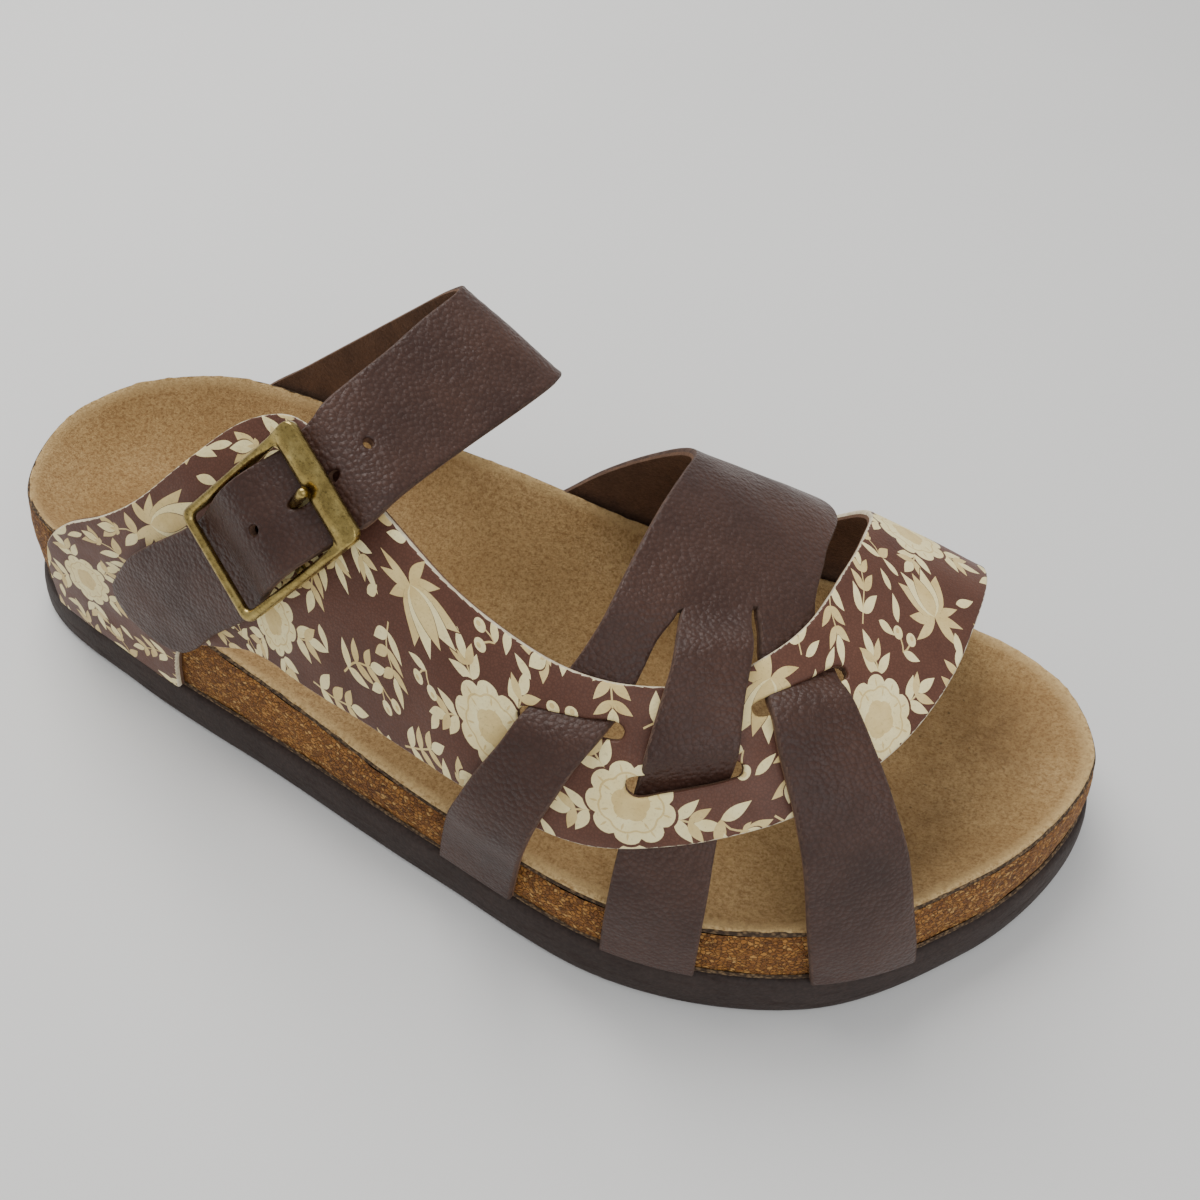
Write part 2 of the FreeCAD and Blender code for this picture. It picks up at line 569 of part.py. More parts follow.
def buckle_parts():
    """Frame, pivot bar, prong, loop and rivets."""
    half_w, half_l = FRAME_WIDE / 2, FRAME_LONG / 2
    tall = FRAME_HIGH - FRAME_LOW
    outer = Part.makeBox(FRAME_WIDE, FRAME_LONG, tall, V(-half_w, -half_l, FRAME_LOW))
    upright = [edge for edge in outer.Edges if abs(edge.tangentAt(edge.FirstParameter).z) > 0.9]
    outer = outer.makeFillet(FRAME_CORNER, upright)
    opening = Part.makeBox(FRAME_WIDE - 2 * RAIL, FRAME_LONG - WIDE_BAR - RAIL, tall + 2,
                           V(-half_w + RAIL, -half_l + WIDE_BAR, FRAME_LOW - 1))
    upright = [edge for edge in opening.Edges if abs(edge.tangentAt(edge.FirstParameter).z) > 0.9]
    opening = opening.makeFillet(1.2, upright)
    notch = Part.makeCylinder(NOTCH_RADIUS, WIDE_BAR, V(0, -half_l + 1.4, PRONG[-1][1] + 0.05), V(0, 1, 0))
    under_wide = Part.makeBox(40, WIDE_BAR + 0.6, 4, V(-20, -half_l - 0.1, WIDE_BAR_LOW - 4))
    under_near = Part.makeBox(40, RAIL + 0.6, 4, V(-20, half_l - RAIL - 0.5, NEAR_BAR_LOW - 4))
    frame = outer.cut([opening, notch, under_wide, under_near])
    inner_half = half_w - RAIL
    bar = Part.makeCylinder(PIVOT_RADIUS, 2 * inner_half, V(-inner_half, 0, PIVOT_HEIGHT), V(1, 0, 0))
    bore = Part.makeCylinder(PIVOT_RADIUS + PIVOT_CLEAR, 40, V(-20, 0, PIVOT_HEIGHT), V(1, 0, 0))
    eye = Part.makeCylinder(EYE_RADIUS, EYE_WIDE, V(-EYE_WIDE / 2, 0, PIVOT_HEIGHT), V(1, 0, 0))
    prong = prong_solid().fuse(eye).cut(bore)
    roll = Part.makeCylinder(PIVOT_RADIUS + PIVOT_CLEAR + LOOP_THICK, LOOP_WIDE,
                             V(-LOOP_WIDE / 2, 0, PIVOT_HEIGHT), V(1, 0, 0))
    tab = Part.makeBox(LOOP_WIDE, LOOP_LONG, 2 * LOOP_THICK, V(-LOOP_WIDE / 2, 0, LOOP_FLOOR))
    gap = Part.makeBox(EYE_WIDE + 0.4, 9, 9, V(-EYE_WIDE / 2 - 0.2, -6, LOOP_FLOOR - 1))
    loop = roll.fuse(tab).cut([bore, gap])
    rivets = {}
    for name, side in (("loop_rivet_front", 1), ("loop_rivet_rear", -1)):
        w, l = side * RIVET_AT[1], RIVET_AT[0]
        top = LOOP_FLOOR + 2 * LOOP_THICK
        head = Part.makeCylinder(RIVET_HEAD[0], RIVET_HEAD[1], V(w, l, top))
        shank = Part.makeCylinder(RIVET_SHANK, top + 0.5, V(w, l, -0.5))
        back = Part.makeCylinder(RIVET_HEAD[0], RIVET_BACK, V(w, l, -RIVET_BACK / 2))
        rivets[name] = head.fuse([shank, back])
    loop = loop.cut(list(rivets.values()))
    parts = {"buckle_frame": frame, "buckle_pivot_bar": bar, "buckle_prong": prong, "buckle_loop": loop}
    parts.update(rivets)
    return {name: placed(shape) for name, shape in parts.items()}


def instep_parts():
    """Instep strap with its holes and rounded tail."""
    underside = instep_grid()
    pair = layers(lambda extra: offset_grid(underside, extra))
    cutters = [tail_trim(), placed(prong_solid(PRONG_FREE))]
    for distance in HOLES:
        cutters.append(placed(Part.makeCylinder(HOLE_RADIUS, 20, V(0, PRONG_HOLE + distance, -6))))
    lining, leather = [layer.cut(cutters) for layer in pair]
    return {"instep_strap_lining": lining, "instep_strap": leather}


def build():
    """Every named part."""
    parts = sole_parts()
    parts.update(panel_parts())
    parts.update(finger_parts())
    parts.update(instep_parts())
    parts.update(buckle_parts())
    rivets = [parts["loop_rivet_front"], parts["loop_rivet_rear"]]
    for name in ("printed_panel", "panel_lining"):
        parts[name] = parts[name].cut(rivets)
    return parts


def main():
    os.makedirs("parts", exist_ok=True)
    for name, shape in build().items():
        solids = shape.Solids
        whole = solids[0] if len(solids) == 1 else Part.makeCompound(solids)
        whole.exportStep("parts/" + name + ".step")
        print(name, len(solids), whole.isValid(), round(whole.Volume))


if __name__ == "__main__":
    main()
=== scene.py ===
"""The look of a right-foot cork-footbed sandal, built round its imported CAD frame.

Everything is worked out in millimetres in the CAD frame and turned into metres when a mesh is made.
A place on the foot form is (x, t): x along the foot, t degrees round it from the outer side to the inner.
"""
import bpy
import math
import numpy as np
from mathutils import Matrix, Vector, geometry, noise


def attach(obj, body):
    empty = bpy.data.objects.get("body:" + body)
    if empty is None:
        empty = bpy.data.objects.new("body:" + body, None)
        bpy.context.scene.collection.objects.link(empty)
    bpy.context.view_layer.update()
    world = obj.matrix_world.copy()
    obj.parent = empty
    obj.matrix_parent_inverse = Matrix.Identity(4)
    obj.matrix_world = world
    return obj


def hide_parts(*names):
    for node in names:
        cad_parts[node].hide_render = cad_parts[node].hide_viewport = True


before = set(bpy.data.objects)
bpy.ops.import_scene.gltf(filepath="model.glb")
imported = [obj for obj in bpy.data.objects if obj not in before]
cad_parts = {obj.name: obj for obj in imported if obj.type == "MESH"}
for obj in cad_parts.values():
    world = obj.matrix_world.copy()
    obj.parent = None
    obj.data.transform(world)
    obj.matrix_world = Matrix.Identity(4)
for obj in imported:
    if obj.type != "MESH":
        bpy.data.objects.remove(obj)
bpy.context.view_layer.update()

MM = 0.001
OUTSOLE_THICK = 10.0
CORK_BOTTOM = 10.8
CORK_INSET = 2.8
RIM_INSET = 4.4
SUEDE_THICK = 1.3
JUTE_THICK = 0.9
LINING = 0.8
STRAP = 1.9  # leather with its lining
# how far the underside of a strap lies off the foot form: on it, over one strap, over two
ON_FORM = 0.3
OVER_ONE = 2.5
OVER_TWO = 4.7

# ground outline of the outsole with the height of the footbed rim: (x, y, rim)
SOLE = [
    (-126.5, 7.5, 34), (-118, 29, 36), (-93, 42, 38), (-51.5, 39.5, 41), (-13.5, 37, 41.5),
    (20.5, 41, 33), (57, 51, 24), (91, 53.5, 21), (116, 43.5, 22.5), (126.5, 23, 24.5),
    (122.5, 2.5, 25.5), (109, -20, 26), (83.5, -43.5, 25), (47, -53.5, 22.5), (5, -47.5, 21.5),
    (-36.5, -39, 27), (-79.5, -30.5, 33), (-114, -18.5, 34)]
# foot form: (x, crest height, sideways lean of the crest)
FORM = np.array([(-90, 83, 0), (-48, 86.5, 4), (-6, 82.5, 6), (36, 68, 8), (77, 53.5, 6), (103, 45, 4)],
                float)

# rows across the straps on the form: (x, t) of one edge, (x, t) of the other, distance off the form
PANEL = [
    (-103, 0.2, -64, 0.2, ON_FORM), (-101.5, 8, -62.5, 4.5, ON_FORM), (-98, 15, -60.5, 8, ON_FORM),
    (-90, 22, -54, 12, ON_FORM), (-78, 28.5, -46, 15, ON_FORM), (-66, 37, -39, 17.5, ON_FORM),
    (-54, 50, -33, 18, ON_FORM), (-44, 62, -27, 17.5, ON_FORM), (-35, 67, -20, 17.5, ON_FORM),
    (-24, 63, -10, 18, ON_FORM), (-10, 57, 2, 18.5, 0.8), (4, 52, 13, 20, 2.2),
    (17, 50.5, 26, 21.5, OVER_ONE), (28, 51.5, 38, 24, OVER_ONE), (39, 55.5, 50, 30, OVER_ONE),
    (49, 62, 60, 36.5, OVER_ONE), (56, 71.5, 69, 44, OVER_ONE), (60, 80, 77, 54.5, OVER_ONE),
    (62, 88.5, 83, 66, OVER_ONE), (63.5, 98, 87, 80, OVER_ONE), (64, 108, 89, 95, OVER_ONE),
    (64, 118, 89.5, 110, OVER_ONE), (62.5, 128, 89, 124, 2.0), (58.5, 140, 88.5, 138, 1.1),
    (51.5, 152, 88, 151, ON_FORM), (43.5, 163, 87.5, 162.5, ON_FORM), (36.5, 172, 87, 172, ON_FORM),
    (31, 179.8, 86.5, 179.8, ON_FORM)]
FINGER_ROOT = [
    (-28, 179.8, 16, 179.8, ON_FORM), (-23, 175, 19.5, 173, ON_FORM), (-15, 171, 24, 167, ON_FORM),
    (-4, 164, 31, 158, ON_FORM), (6, 154, 38, 149, ON_FORM), (14, 145, 44.5, 140, ON_FORM),
    (20.5, 136, 51, 130, ON_FORM), (26, 125, 56, 121, ON_FORM), (29, 114, 58.5, 113, ON_FORM),
    (29.5, 102, 59, 105.5, ON_FORM), (29.2, 90, 59, 99, 0.4), (29, 78, 59.5, 94, 0.6)]
ROOT_END = (28.5, 64, 60.5, 86, 1.0)
FINGER_A = [
    (27.6, 57.5, 38.2, 65, 0.5), (26.4, 52, 37.8, 58.5, ON_FORM), (25, 48, 37.4, 53.5, ON_FORM),
    (23.2, 43.8, 37, 48.8, 0.4), (22, 40.5, 36, 45.5, 2.5), (20.6, 37, 34.8, 42, 4.6),
    (19, 32.5, 33, 37, OVER_TWO), (16.5, 26.5, 31, 29.5, OVER_TWO), (14.2, 20.5, 29, 22, OVER_TWO),
    (12, 15.5, 27.6, 16, 3.9), (10, 10.5, 26.2, 10.5, 2.0), (8.3, 5.5, 25, 5.5, 0.6),
    (7, 0.2, 24, 0.2, ON_FORM)]
FINGER_B = [
    (40.6, 67, 51.6, 75, 2.5), (41.1, 63, 52.4, 71.5, 4.4), (41.6, 59.5, 53.2, 67.5, OVER_TWO),
    (42, 54, 54.3, 61, OVER_TWO), (42.4, 48.5, 55.5, 56, OVER_TWO), (42.6, 45, 56.2, 53, 4.6),
    (42.8, 41.5, 56.8, 50, 2.5), (43, 38, 57.3, 46.5, 0.4), (43.1, 33, 58, 40, ON_FORM),
    (43.2, 26, 59, 31, ON_FORM), (43.3, 19, 60, 22, ON_FORM), (43.4, 9, 60.8, 10, ON_FORM),
    (43.4, 0.2, 61.2, 0.2, ON_FORM)]
FINGER_C = [
    (53.4, 76, 62.2, 82, 0.5), (55, 71.5, 64.5, 79, ON_FORM), (57, 67.3, 67, 76.5, 0.4),
    (58.4, 63, 69, 72, 2.5), (60, 59.5, 71, 69, 4.6), (62, 55.5, 73.8, 65.5, OVER_TWO),
    (65.2, 50, 77, 61, OVER_TWO), (68, 45, 80.3, 56, OVER_TWO), (70.2, 40.5, 84, 49.5, 4.3),
    (72.5, 35.5, 87.8, 42, 3.2), (74.8, 29, 91, 33, 1.8), (77, 21, 93.8, 22.5, 0.8),
    (79.3, 11, 96.5, 10.5, ON_FORM), (81.5, 0.2, 98.2, 0.2, ON_FORM)]
FINGER_SHARES = ((0.0, 0.345), (0.36, 0.70), (0.715, 1.0))
INSTEP_FOOT = [
    (-95, 179.8, -46, 179.8, ON_FORM), (-91, 172, -42.5, 172, ON_FORM), (-87, 166, -38.5, 166, ON_FORM)]
# rows of the instep strap over the foot, as points of its two edges
INSTEP = [
    ((-70.8, 37.9, 46.5), (-28.8, 34.5, 43.6)), ((-54.5, 36, 60.5), (-19.4, 32.8, 54.2)),
    ((-40, 34.2, 73), (-11, 31.1, 64)), ((-30, 32.6, 81.6), (-5, 29.6, 70.4)),
    ((-25.2, 30.2, 85.4), (-1.8, 27.4, 73.1)), ((-23.8, 25.5, 86.9), (-1.4, 22.6, 74.5)),
    ((-25.4, 16, 86.9), (-3.7, 13.5, 74.7)), ((-26.8, 5, 86.6), (-7.2, 2, 74.7)),
    ((-28.4, -5.2, 86.5), (-9.6, -9, 75.6)), ((-29.4, -13.2, 86.3), (-11.4, -20.4, 76.8))]
# the strap inside the buckle, in the buckle's frame: (along, half width, height, tilt)
STRAP_IN_BUCKLE = [
    (-16, 10.7, 1.9, -0.9), (-13, 10, 2.2, -0.3), (-10, 9.7, 2.5, 0), (-7.5, 9.7, 3.4, 0),
    (-5, 9.7, 5.0, 0), (-2, 9.7, 6.5, 0), (1, 9.7, 7.1, 0), (4, 9.7, 6.6, 0), (7.5, 9.7, 5.2, 0),
    (10, 9.7, 3.8, 0.3), (12.5, 9.7, 2.5, 0.6), (15, 9.8, 2.0, 0.7), (18.5, 10.2, 1.6, 0.9)]
TAIL = [(-66, 26.5, -46, 18.5, 2.8), (-71.5, 20.5, -52, 13.2, 2.6), (-77, 13.5, -60, 8.6, 2.6)]
TAIL_ROUND = 8.5
FULLNESS = 1 / 1.2  # how square the foot form is
# the buckle: its place on the form, and the way from it to the strap's tail
BUCKLE_PLACE = (-31.7, 46.1)
BUCKLE_TAILWARD = (-0.631, -0.244, -0.736)


# ---- smooth curves and the foot form ----
def smooth(xs, ys, x):
    """Values at x of a smooth curve through the points (xs, ys), straight beyond its ends."""
    xs, ys, x = np.asarray(xs, float), np.asarray(ys, float), np.asarray(x, float)
    last = len(xs) - 1
    low = np.maximum(np.arange(last + 1) - 1, 0)
    high = np.minimum(np.arange(last + 1) + 1, last)
    spread = (slice(None),) + (None,) * (ys.ndim - 1)
    slope = (ys[high] - ys[low]) / (xs[high] - xs[low])[spread]
    i = np.clip(np.searchsorted(xs, x, "right") - 1, 0, last - 1)
    spread = (...,) + (None,) * (ys.ndim - 1)
    span = (xs[i + 1] - xs[i])[spread]
    inside = np.clip(x, xs[0], xs[last])
    u = (inside - xs[i])[spread] / span
    value = ((2 * u**3 - 3 * u**2 + 1) * ys[i] + (u**3 - 2 * u**2 + u) * slope[i] * span
             + (3 * u**2 - 2 * u**3) * ys[i + 1] + (u**3 - u**2) * slope[i + 1] * span)
    return value + (x - inside)[spread] * np.where((x < xs[0])[spread], slope[0], slope[last])


def closed_curve(points, count):
    """Points spread evenly along a smooth closed curve through the given ones."""
    points = np.asarray(points, float)
    steps = np.linalg.norm(np.roll(points, -1, 0)[:, :2] - points[:, :2], axis=1)
    at = np.concatenate([[0], np.cumsum(steps)])
    size, total = len(points), at[-1]
    knots = np.arange(-3, size + 4)
    return smooth(at[knots % size] + total * (knots // size), points[knots % size],
                  total * np.arange(count) / count)


def run_length(points):
    """How far along a line of points each of them is."""
    return np.concatenate([[0], np.cumsum(np.linalg.norm(np.diff(points, axis=0), axis=1))])


def open_curve(points, spacing):
    """Points spread evenly along a smooth curve through the given ones."""
    points = np.asarray(points, float)
    at = run_length(points)
    return smooth(at, points, np.linspace(0, at[-1], max(int(at[-1] / spacing), 2) + 1))


CURVE = closed_curve(SOLE, 720)


def wall_y(x, side):
    """Where the ground outline crosses station x."""
    here, there = CURVE, np.roll(CURVE, -1, 0)
    hit = (here[:, 0] - x) * (there[:, 0] - x) <= 0
    here, there = here[hit], there[hit]
    run = np.where(here[:, 0] == there[:, 0], 1, there[:, 0] - here[:, 0])
    ys = here[:, 1] + (there[:, 1] - here[:, 1]) * (x - here[:, 0]) / run
    return side * np.max(side * ys)


STATIONS = np.arange(-122, 122)
WALLS = {side: np.array([wall_y(x, side) for x in STATIONS]) for side in (-1, 1)}


def compass(angle):
    """The unit vector at an angle in degrees."""
    return np.array([math.cos(math.radians(angle)), math.sin(math.radians(angle))])


def unit(v):
    return v / np.maximum(np.linalg.norm(v, axis=-1, keepdims=True), 1e-9)


def form(x, t):
    """Points on the foot form."""
    x, t = np.asarray(x, float), np.radians(t)
    crest, lean = smooth(FORM[:, 0], FORM[:, 1], x), smooth(FORM[:, 0], FORM[:, 2], x)
    low = np.interp(x, STATIONS, WALLS[-1]) + CORK_INSET
    high = np.interp(x, STATIONS, WALLS[1]) - CORK_INSET
    rise = np.abs(np.sin(t)) ** FULLNESS
    reach = np.copysign(np.abs(np.cos(t)) ** FULLNESS, np.cos(t))
    y = (low + high) / 2 - reach * (high - low) / 2 + lean * rise**2
    return np.stack([x, y, OUTSOLE_THICK + (crest - OUTSOLE_THICK) * rise], -1)


def outward(x, t):
    """Unit normals of the foot form, taken a little off the ground line."""
    t = np.clip(t, 1.5, 178.5)
    x = np.asarray(x, float)
    return unit(np.cross(form(x + 1, t) - form(x - 1, t), form(x, t + 1) - form(x, t - 1)))


def on_form(x, t, offset=0.0):
    return form(x, t) + outward(x, t) * np.asarray(offset)[..., None]


# ---- the buckle's own frame ----
def buckle_frame():
    """Origin and directions of the buckle: across the strap, towards its tail, away from the foot."""
    away = outward(*BUCKLE_PLACE)
    tail = np.array(BUCKLE_TAILWARD)
    tail = unit(tail - away * (tail @ away))
    return form(*BUCKLE_PLACE), np.cross(tail, away), tail, away


ORIGIN, ACROSS, TAILWARD, AWAY = buckle_frame()


def at_buckle(points):
    """Points given as (across, along, away) of the buckle."""
    points = np.asarray(points, float)
    return ORIGIN + points[..., :1] * ACROSS + points[..., 1:2] * TAILWARD + points[..., 2:] * AWAY


# ---- straps as smooth surfaces ----
COLUMNS = 25
EDGE_SPACING = 1.6
SHARE = np.linspace(0, 1, COLUMNS)


class Strap:
    """A strap as rows of points; a place on it is (s, b): mm along its middle, mm to the side of it."""

    def __init__(self, s, grid, xt=None):
        self.s, self.grid, self.xt = s, grid, xt
        self.length = s[-1]
        self.width = np.linalg.norm(np.diff(grid, axis=1), axis=2).sum(1)
        self.normal = unit(np.cross(np.gradient(grid, axis=1), np.gradient(grid, axis=0)))
        if self.normal[:, :, 2].sum() < 0:
            self.normal = -self.normal

    def lookup(self, table, places):
        """Table values at places, between the four nearest grid points."""
        s, b = np.asarray(places, float).T
        i = np.clip(s / self.length * (len(self.s) - 1), 0, len(self.s) - 1.0001)
        f = 0.5 + b / np.interp(s, self.s, self.width)
        j = np.clip(f * (COLUMNS - 1), 0, COLUMNS - 1.0001)
        i0, j0 = i.astype(int), j.astype(int)
        u, v = (i - i0)[:, None], (j - j0)[:, None]
        return ((table[i0, j0] * (1 - u) + table[i0 + 1, j0] * u) * (1 - v)
                + (table[i0, j0 + 1] * (1 - u) + table[i0 + 1, j0 + 1] * u) * v)

    def point(self, places, extra):
        return (self.lookup(self.grid, places)
                + self.lookup(self.normal, places) * np.asarray(extra, float).reshape(-1, 1))

    def place(self, x, t):
        """(s, b) of a place given on the form."""
        away = (self.xt[:, :, 0] - x) ** 2 + (self.xt[:, :, 1] - t) ** 2
        i, j = np.unravel_index(np.argmin(away), away.shape)
        i, j = min(max(i, 1), len(self.s) - 2), min(max(j, 1), COLUMNS - 2)
        ds = (self.xt[i + 1, j] - self.xt[i - 1, j]) / 2
        df = (self.xt[i, j + 1] - self.xt[i, j - 1]) / 2
        step = np.linalg.solve(np.array([ds, df]).T, np.array([x, t]) - self.xt[i, j])
        s = (i + step[0]) * self.length / (len(self.s) - 1)
        return s, ((j + step[1]) / (COLUMNS - 1) - 0.5) * np.interp(s, self.s, self.width)

    def edge(self, start, end, side):
        """Points along one edge of the strap from s = start to s = end."""
        s = np.linspace(start, end, max(int(abs(end - start) / EDGE_SPACING), 2) + 1)
        return np.stack([s, side * np.interp(s, self.s, self.width) / 2], -1)


# ---- meshes ----
FAR = 1e9
BATCH = 64
# shares of a flat mesh's spacing: from one row of its grid to the next, and kept clear along every cut
ROW_SHARE = 0.87
CLEAR_SHARE = 0.42


def make_object(name, points, faces, materials, indices=None, sharp=40):
    """A smooth-shaded mesh object from points in millimetres."""
    mesh = bpy.data.meshes.new(name)
    whole = [tuple(int(k) for k in face) for face in faces]
    mesh.from_pydata((np.asarray(points) * MM).tolist(), [], whole)
    for material in materials:
        mesh.materials.append(material)
    if indices is not None:
        mesh.polygons.foreach_set("material_index", np.asarray(indices, np.int32))
    mesh.polygons.foreach_set("use_smooth", np.ones(len(mesh.polygons), bool))
    mesh.set_sharp_from_angle(angle=math.radians(sharp))
    mesh.update()
    piece = bpy.data.objects.new(name, mesh)
    bpy.context.scene.collection.objects.link(piece)
    return piece


def wall_faces(rings, count, closed=False):
    """Faces between neighbouring rings of count points; closed joins the last ring to the first."""
    pairs = [(n * count, (n + 1) % rings * count) for n in range(rings if closed else rings - 1)]
    around = [(k, (k + 1) % count) for k in range(count)]
    return [(low + k, low + m, high + m, high + k) for low, high in pairs for k, m in around]


def boundary_distance(places, loops):
    """Distance of each place from the nearest of the closed loops."""
    best = np.full(len(places), FAR)
    for loop in loops:
        a, b = loop, np.roll(loop, -1, 0)
        for k in range(0, len(a), BATCH):
            p, d = a[k:k + BATCH], (b - a)[k:k + BATCH]
            rel = places[:, None] - p[None]
            share = np.clip((rel * d).sum(-1) / np.maximum((d * d).sum(-1), 1e-9), 0, 1)
            best = np.minimum(best, np.linalg.norm(rel - share[..., None] * d, axis=-1).min(1))
    return best


def inside(places, loop):
    """Which places lie inside a closed loop."""
    x, y = places[:, :1], places[:, 1:]
    ax, ay = loop.T
    bx, by = np.roll(loop, -1, 0).T
    spans = (ay > y) != (by > y)
    rise = np.where(by == ay, 1, by - ay)
    return (spans & (x < (bx - ax) * (y - ay) / rise + ax)).sum(1) % 2 == 1


def shifted(loop, distance):
    """A closed loop moved inwards by a distance (outwards if negative)."""
    ahead, behind = np.roll(loop, -1, 0) - loop, loop - np.roll(loop, 1, 0)
    along = unit(unit(ahead) + unit(behind))
    area = (loop[:, 0] * np.roll(loop, -1, 0)[:, 1] - loop[:, 1] * np.roll(loop, -1, 0)[:, 0]).sum()
    inwards = np.stack([-along[:, 1], along[:, 0]], -1) * math.copysign(1, area)
    turn = np.maximum((unit(ahead) * unit(behind)).sum(1), -0.5)
    return loop + inwards * distance / np.sqrt((1 + turn) / 2)[:, None]


def flat_mesh(outline, holes, paint, rings, spacing):
    """Triangles inside an outline, cut exactly along its holes and along painted shapes.

    Returns the places, the triangles, and for each triangle the number of the last paint shape on it.
    """
    points, edges, faces = [], [], []

    def add(loop, face):
        ahead = np.roll(loop, -1, 0)
        if (loop[:, 0] * ahead[:, 1] - loop[:, 1] * ahead[:, 0]).sum() < 0:
            loop = loop[::-1]
        first = len(points)
        points.extend(Vector(p) for p in loop.tolist())
        if face:
            faces.append(list(range(first, first + len(loop))))
        else:
            edges.extend((first + k, first + (k + 1) % len(loop)) for k in range(len(loop)))

    for loop in (outline, *holes, *paint):
        add(loop, True)
    for ring in rings:
        add(shifted(outline, ring), False)
        for hole in holes:
            add(shifted(hole, -ring), False)
    low, high = outline.min(0), outline.max(0)
    rows = np.arange(low[1], high[1], spacing * ROW_SHARE)
    grid = np.array([(x + (k % 2) * spacing / 2, y) for k, y in enumerate(rows)
                     for x in np.arange(low[0], high[0], spacing)])
    grid = grid[inside(grid, outline)]
    taken = np.array([tuple(p) for p in points])
    gap = np.array([np.min(np.abs(taken[:, 0] - x) + np.abs(taken[:, 1] - y)) for x, y in grid])
    grid = grid[gap > spacing * CLEAR_SHARE]
    points.extend(Vector(p) for p in grid.tolist())
    out = geometry.delaunay_2d_cdt(points, edges, faces, 0, 1e-5, True)
    places = np.array([tuple(p) for p in out[0]])
    keep, owner = [], []
    for face, origins in zip(out[2], out[5]):
        if 0 in origins and not any(1 <= k <= len(holes) for k in origins):
            keep.append(face)
            owner.append(max(origins) - len(holes) - 1 if max(origins) > len(holes) else -1)
    keep = np.array(keep)
    used = np.unique(keep)
    renumber = np.full(len(places), -1)
    renumber[used] = np.arange(len(used))
    places, keep = places[used], renumber[keep]
    a, b, c = (places[keep[:, k]] for k in range(3))
    area = (b[:, 0] - a[:, 0]) * (c[:, 1] - a[:, 1]) - (b[:, 1] - a[:, 1]) * (c[:, 0] - a[:, 0])
    keep[area < 0] = keep[area < 0][:, ::-1]
    return places, keep, np.array(owner)


def rim_edges(triangles):
    """Directed edges that belong to only one triangle."""
    edges = dict.fromkeys(edge for a, b, c in triangles.tolist() for edge in ((a, b), (b, c), (c, a)))
    return [edge for edge in edges if edge[::-1] not in edges]


def numbered_rim(triangles):
    """The rim edges, the points on them in order, and the number of each such point."""
    rim = rim_edges(triangles)
    points = sorted({k for edge in rim for k in edge})
    return rim, points, {k: n for n, k in enumerate(points)}


# ---- straps ----
EDGE_ROUND = 0.55
EDGE_SHOWS = 0.26
RINGS = (0.14, 0.34, 0.62)
# unevenness of the leather: its height and its wavelength
SWELL, SWELL_LONG = 0.25, 9.0
# heights of the cut side between the top and the underside
SIDE_LEVELS = (1.15, LINING, LINING - 0.08, 0.3)


def rounded_drop(away, radius=EDGE_ROUND):
    """How far a rounded edge falls at a distance from the cut."""
    inner = np.clip(1 - away / radius, 0, 1)
    return radius * (1 - np.sqrt(1 - inner**2))


def waviness(points, size, scale):
    """Smooth random heights at points, up to about size, wavelength about scale."""
    return np.array([noise.noise(p) for p in (points / scale).tolist()]) * size


def strap_piece(name, point, outline, holes, materials, paint=(), tones=(), spacing=2.0):
    """Leather with rounded cut edges on its lining.  materials: top, cut edge, lining, then the tones."""
    places, triangles, owner = flat_mesh(outline, holes, list(paint), RINGS, spacing)
    away = boundary_distance(places, [outline, *holes])
    base = point(places, np.zeros(len(places)))
    swell = waviness(base, SWELL, SWELL_LONG) * np.clip(away / 2.0, 0, 1)
    drop = rounded_drop(away)
    rim, rim_points, slot_of = numbered_rim(triangles)
    on_rim = places[rim_points]
    blocks = [point(places, STRAP - drop + swell), point(places, 0.1 * drop)]
    blocks += [point(on_rim, np.full(len(on_rim), height)) for height in SIDE_LEVELS]
    count = len(places)
    start = [2 * count + n * len(rim_points) for n in range(len(SIDE_LEVELS))]
    faces = triangles.tolist() + (triangles[:, ::-1] + count).tolist()
    tone_index = np.array([0] + [3 + tone for tone in tones])
    to_outline = boundary_distance(places, [outline])
    worn = to_outline[triangles].mean(axis=1) < EDGE_SHOWS
    indices = list(np.where(worn, 1, tone_index[owner + 1])) + [2] * len(triangles)
    for a, b in rim:
        ladder_a, ladder_b = ([k, *(at + slot_of[k] for at in start), k + count] for k in (a, b))
        for n in range(len(start) + 1):
            faces.append((ladder_b[n], ladder_a[n], ladder_a[n + 1], ladder_b[n + 1]))
            indices.append(1 if n < 2 and to_outline[a] < 0.01 else 2)
    return make_object(name, np.concatenate(blocks), faces, materials, indices, sharp=50)


def middle_line(table):
    """The middle point of each row."""
    return on_form((table[:, 0] + table[:, 2]) / 2, (table[:, 1] + table[:, 3]) / 2, table[:, 4])


def form_places(table):
    """(x, t) of every point of rows on the form."""
    return table[:, None, :2] + (table[:, None, 2:4] - table[:, None, :2]) * SHARE[None, :, None]


def form_grid(table):
    """Points of rows on the form."""
    xt = form_places(table)
    return on_form(xt[..., 0], xt[..., 1], np.broadcast_to(table[:, 4:5], xt.shape[:2]))


ROW_SPACING = 0.7


def form_strap(at, table):
    """The strap through rows on the form."""
    s = np.linspace(at[0], at[-1], int((at[-1] - at[0]) / ROW_SPACING) + 1)
    rows = smooth(at, table, s)
    return Strap(s, form_grid(rows), form_places(rows))


def make_panel():
    table = np.array(PANEL, float)
    return form_strap(run_length(middle_line(table)), table)


# the three fingers as straps that share the root; each is widened to the whole width of the root
FINGER_SPAN = 33.0
SLIT_AT = (0.3525, 0.7075)
BLEND_SHARE, BLEND_LONG = 0.06, 7.0


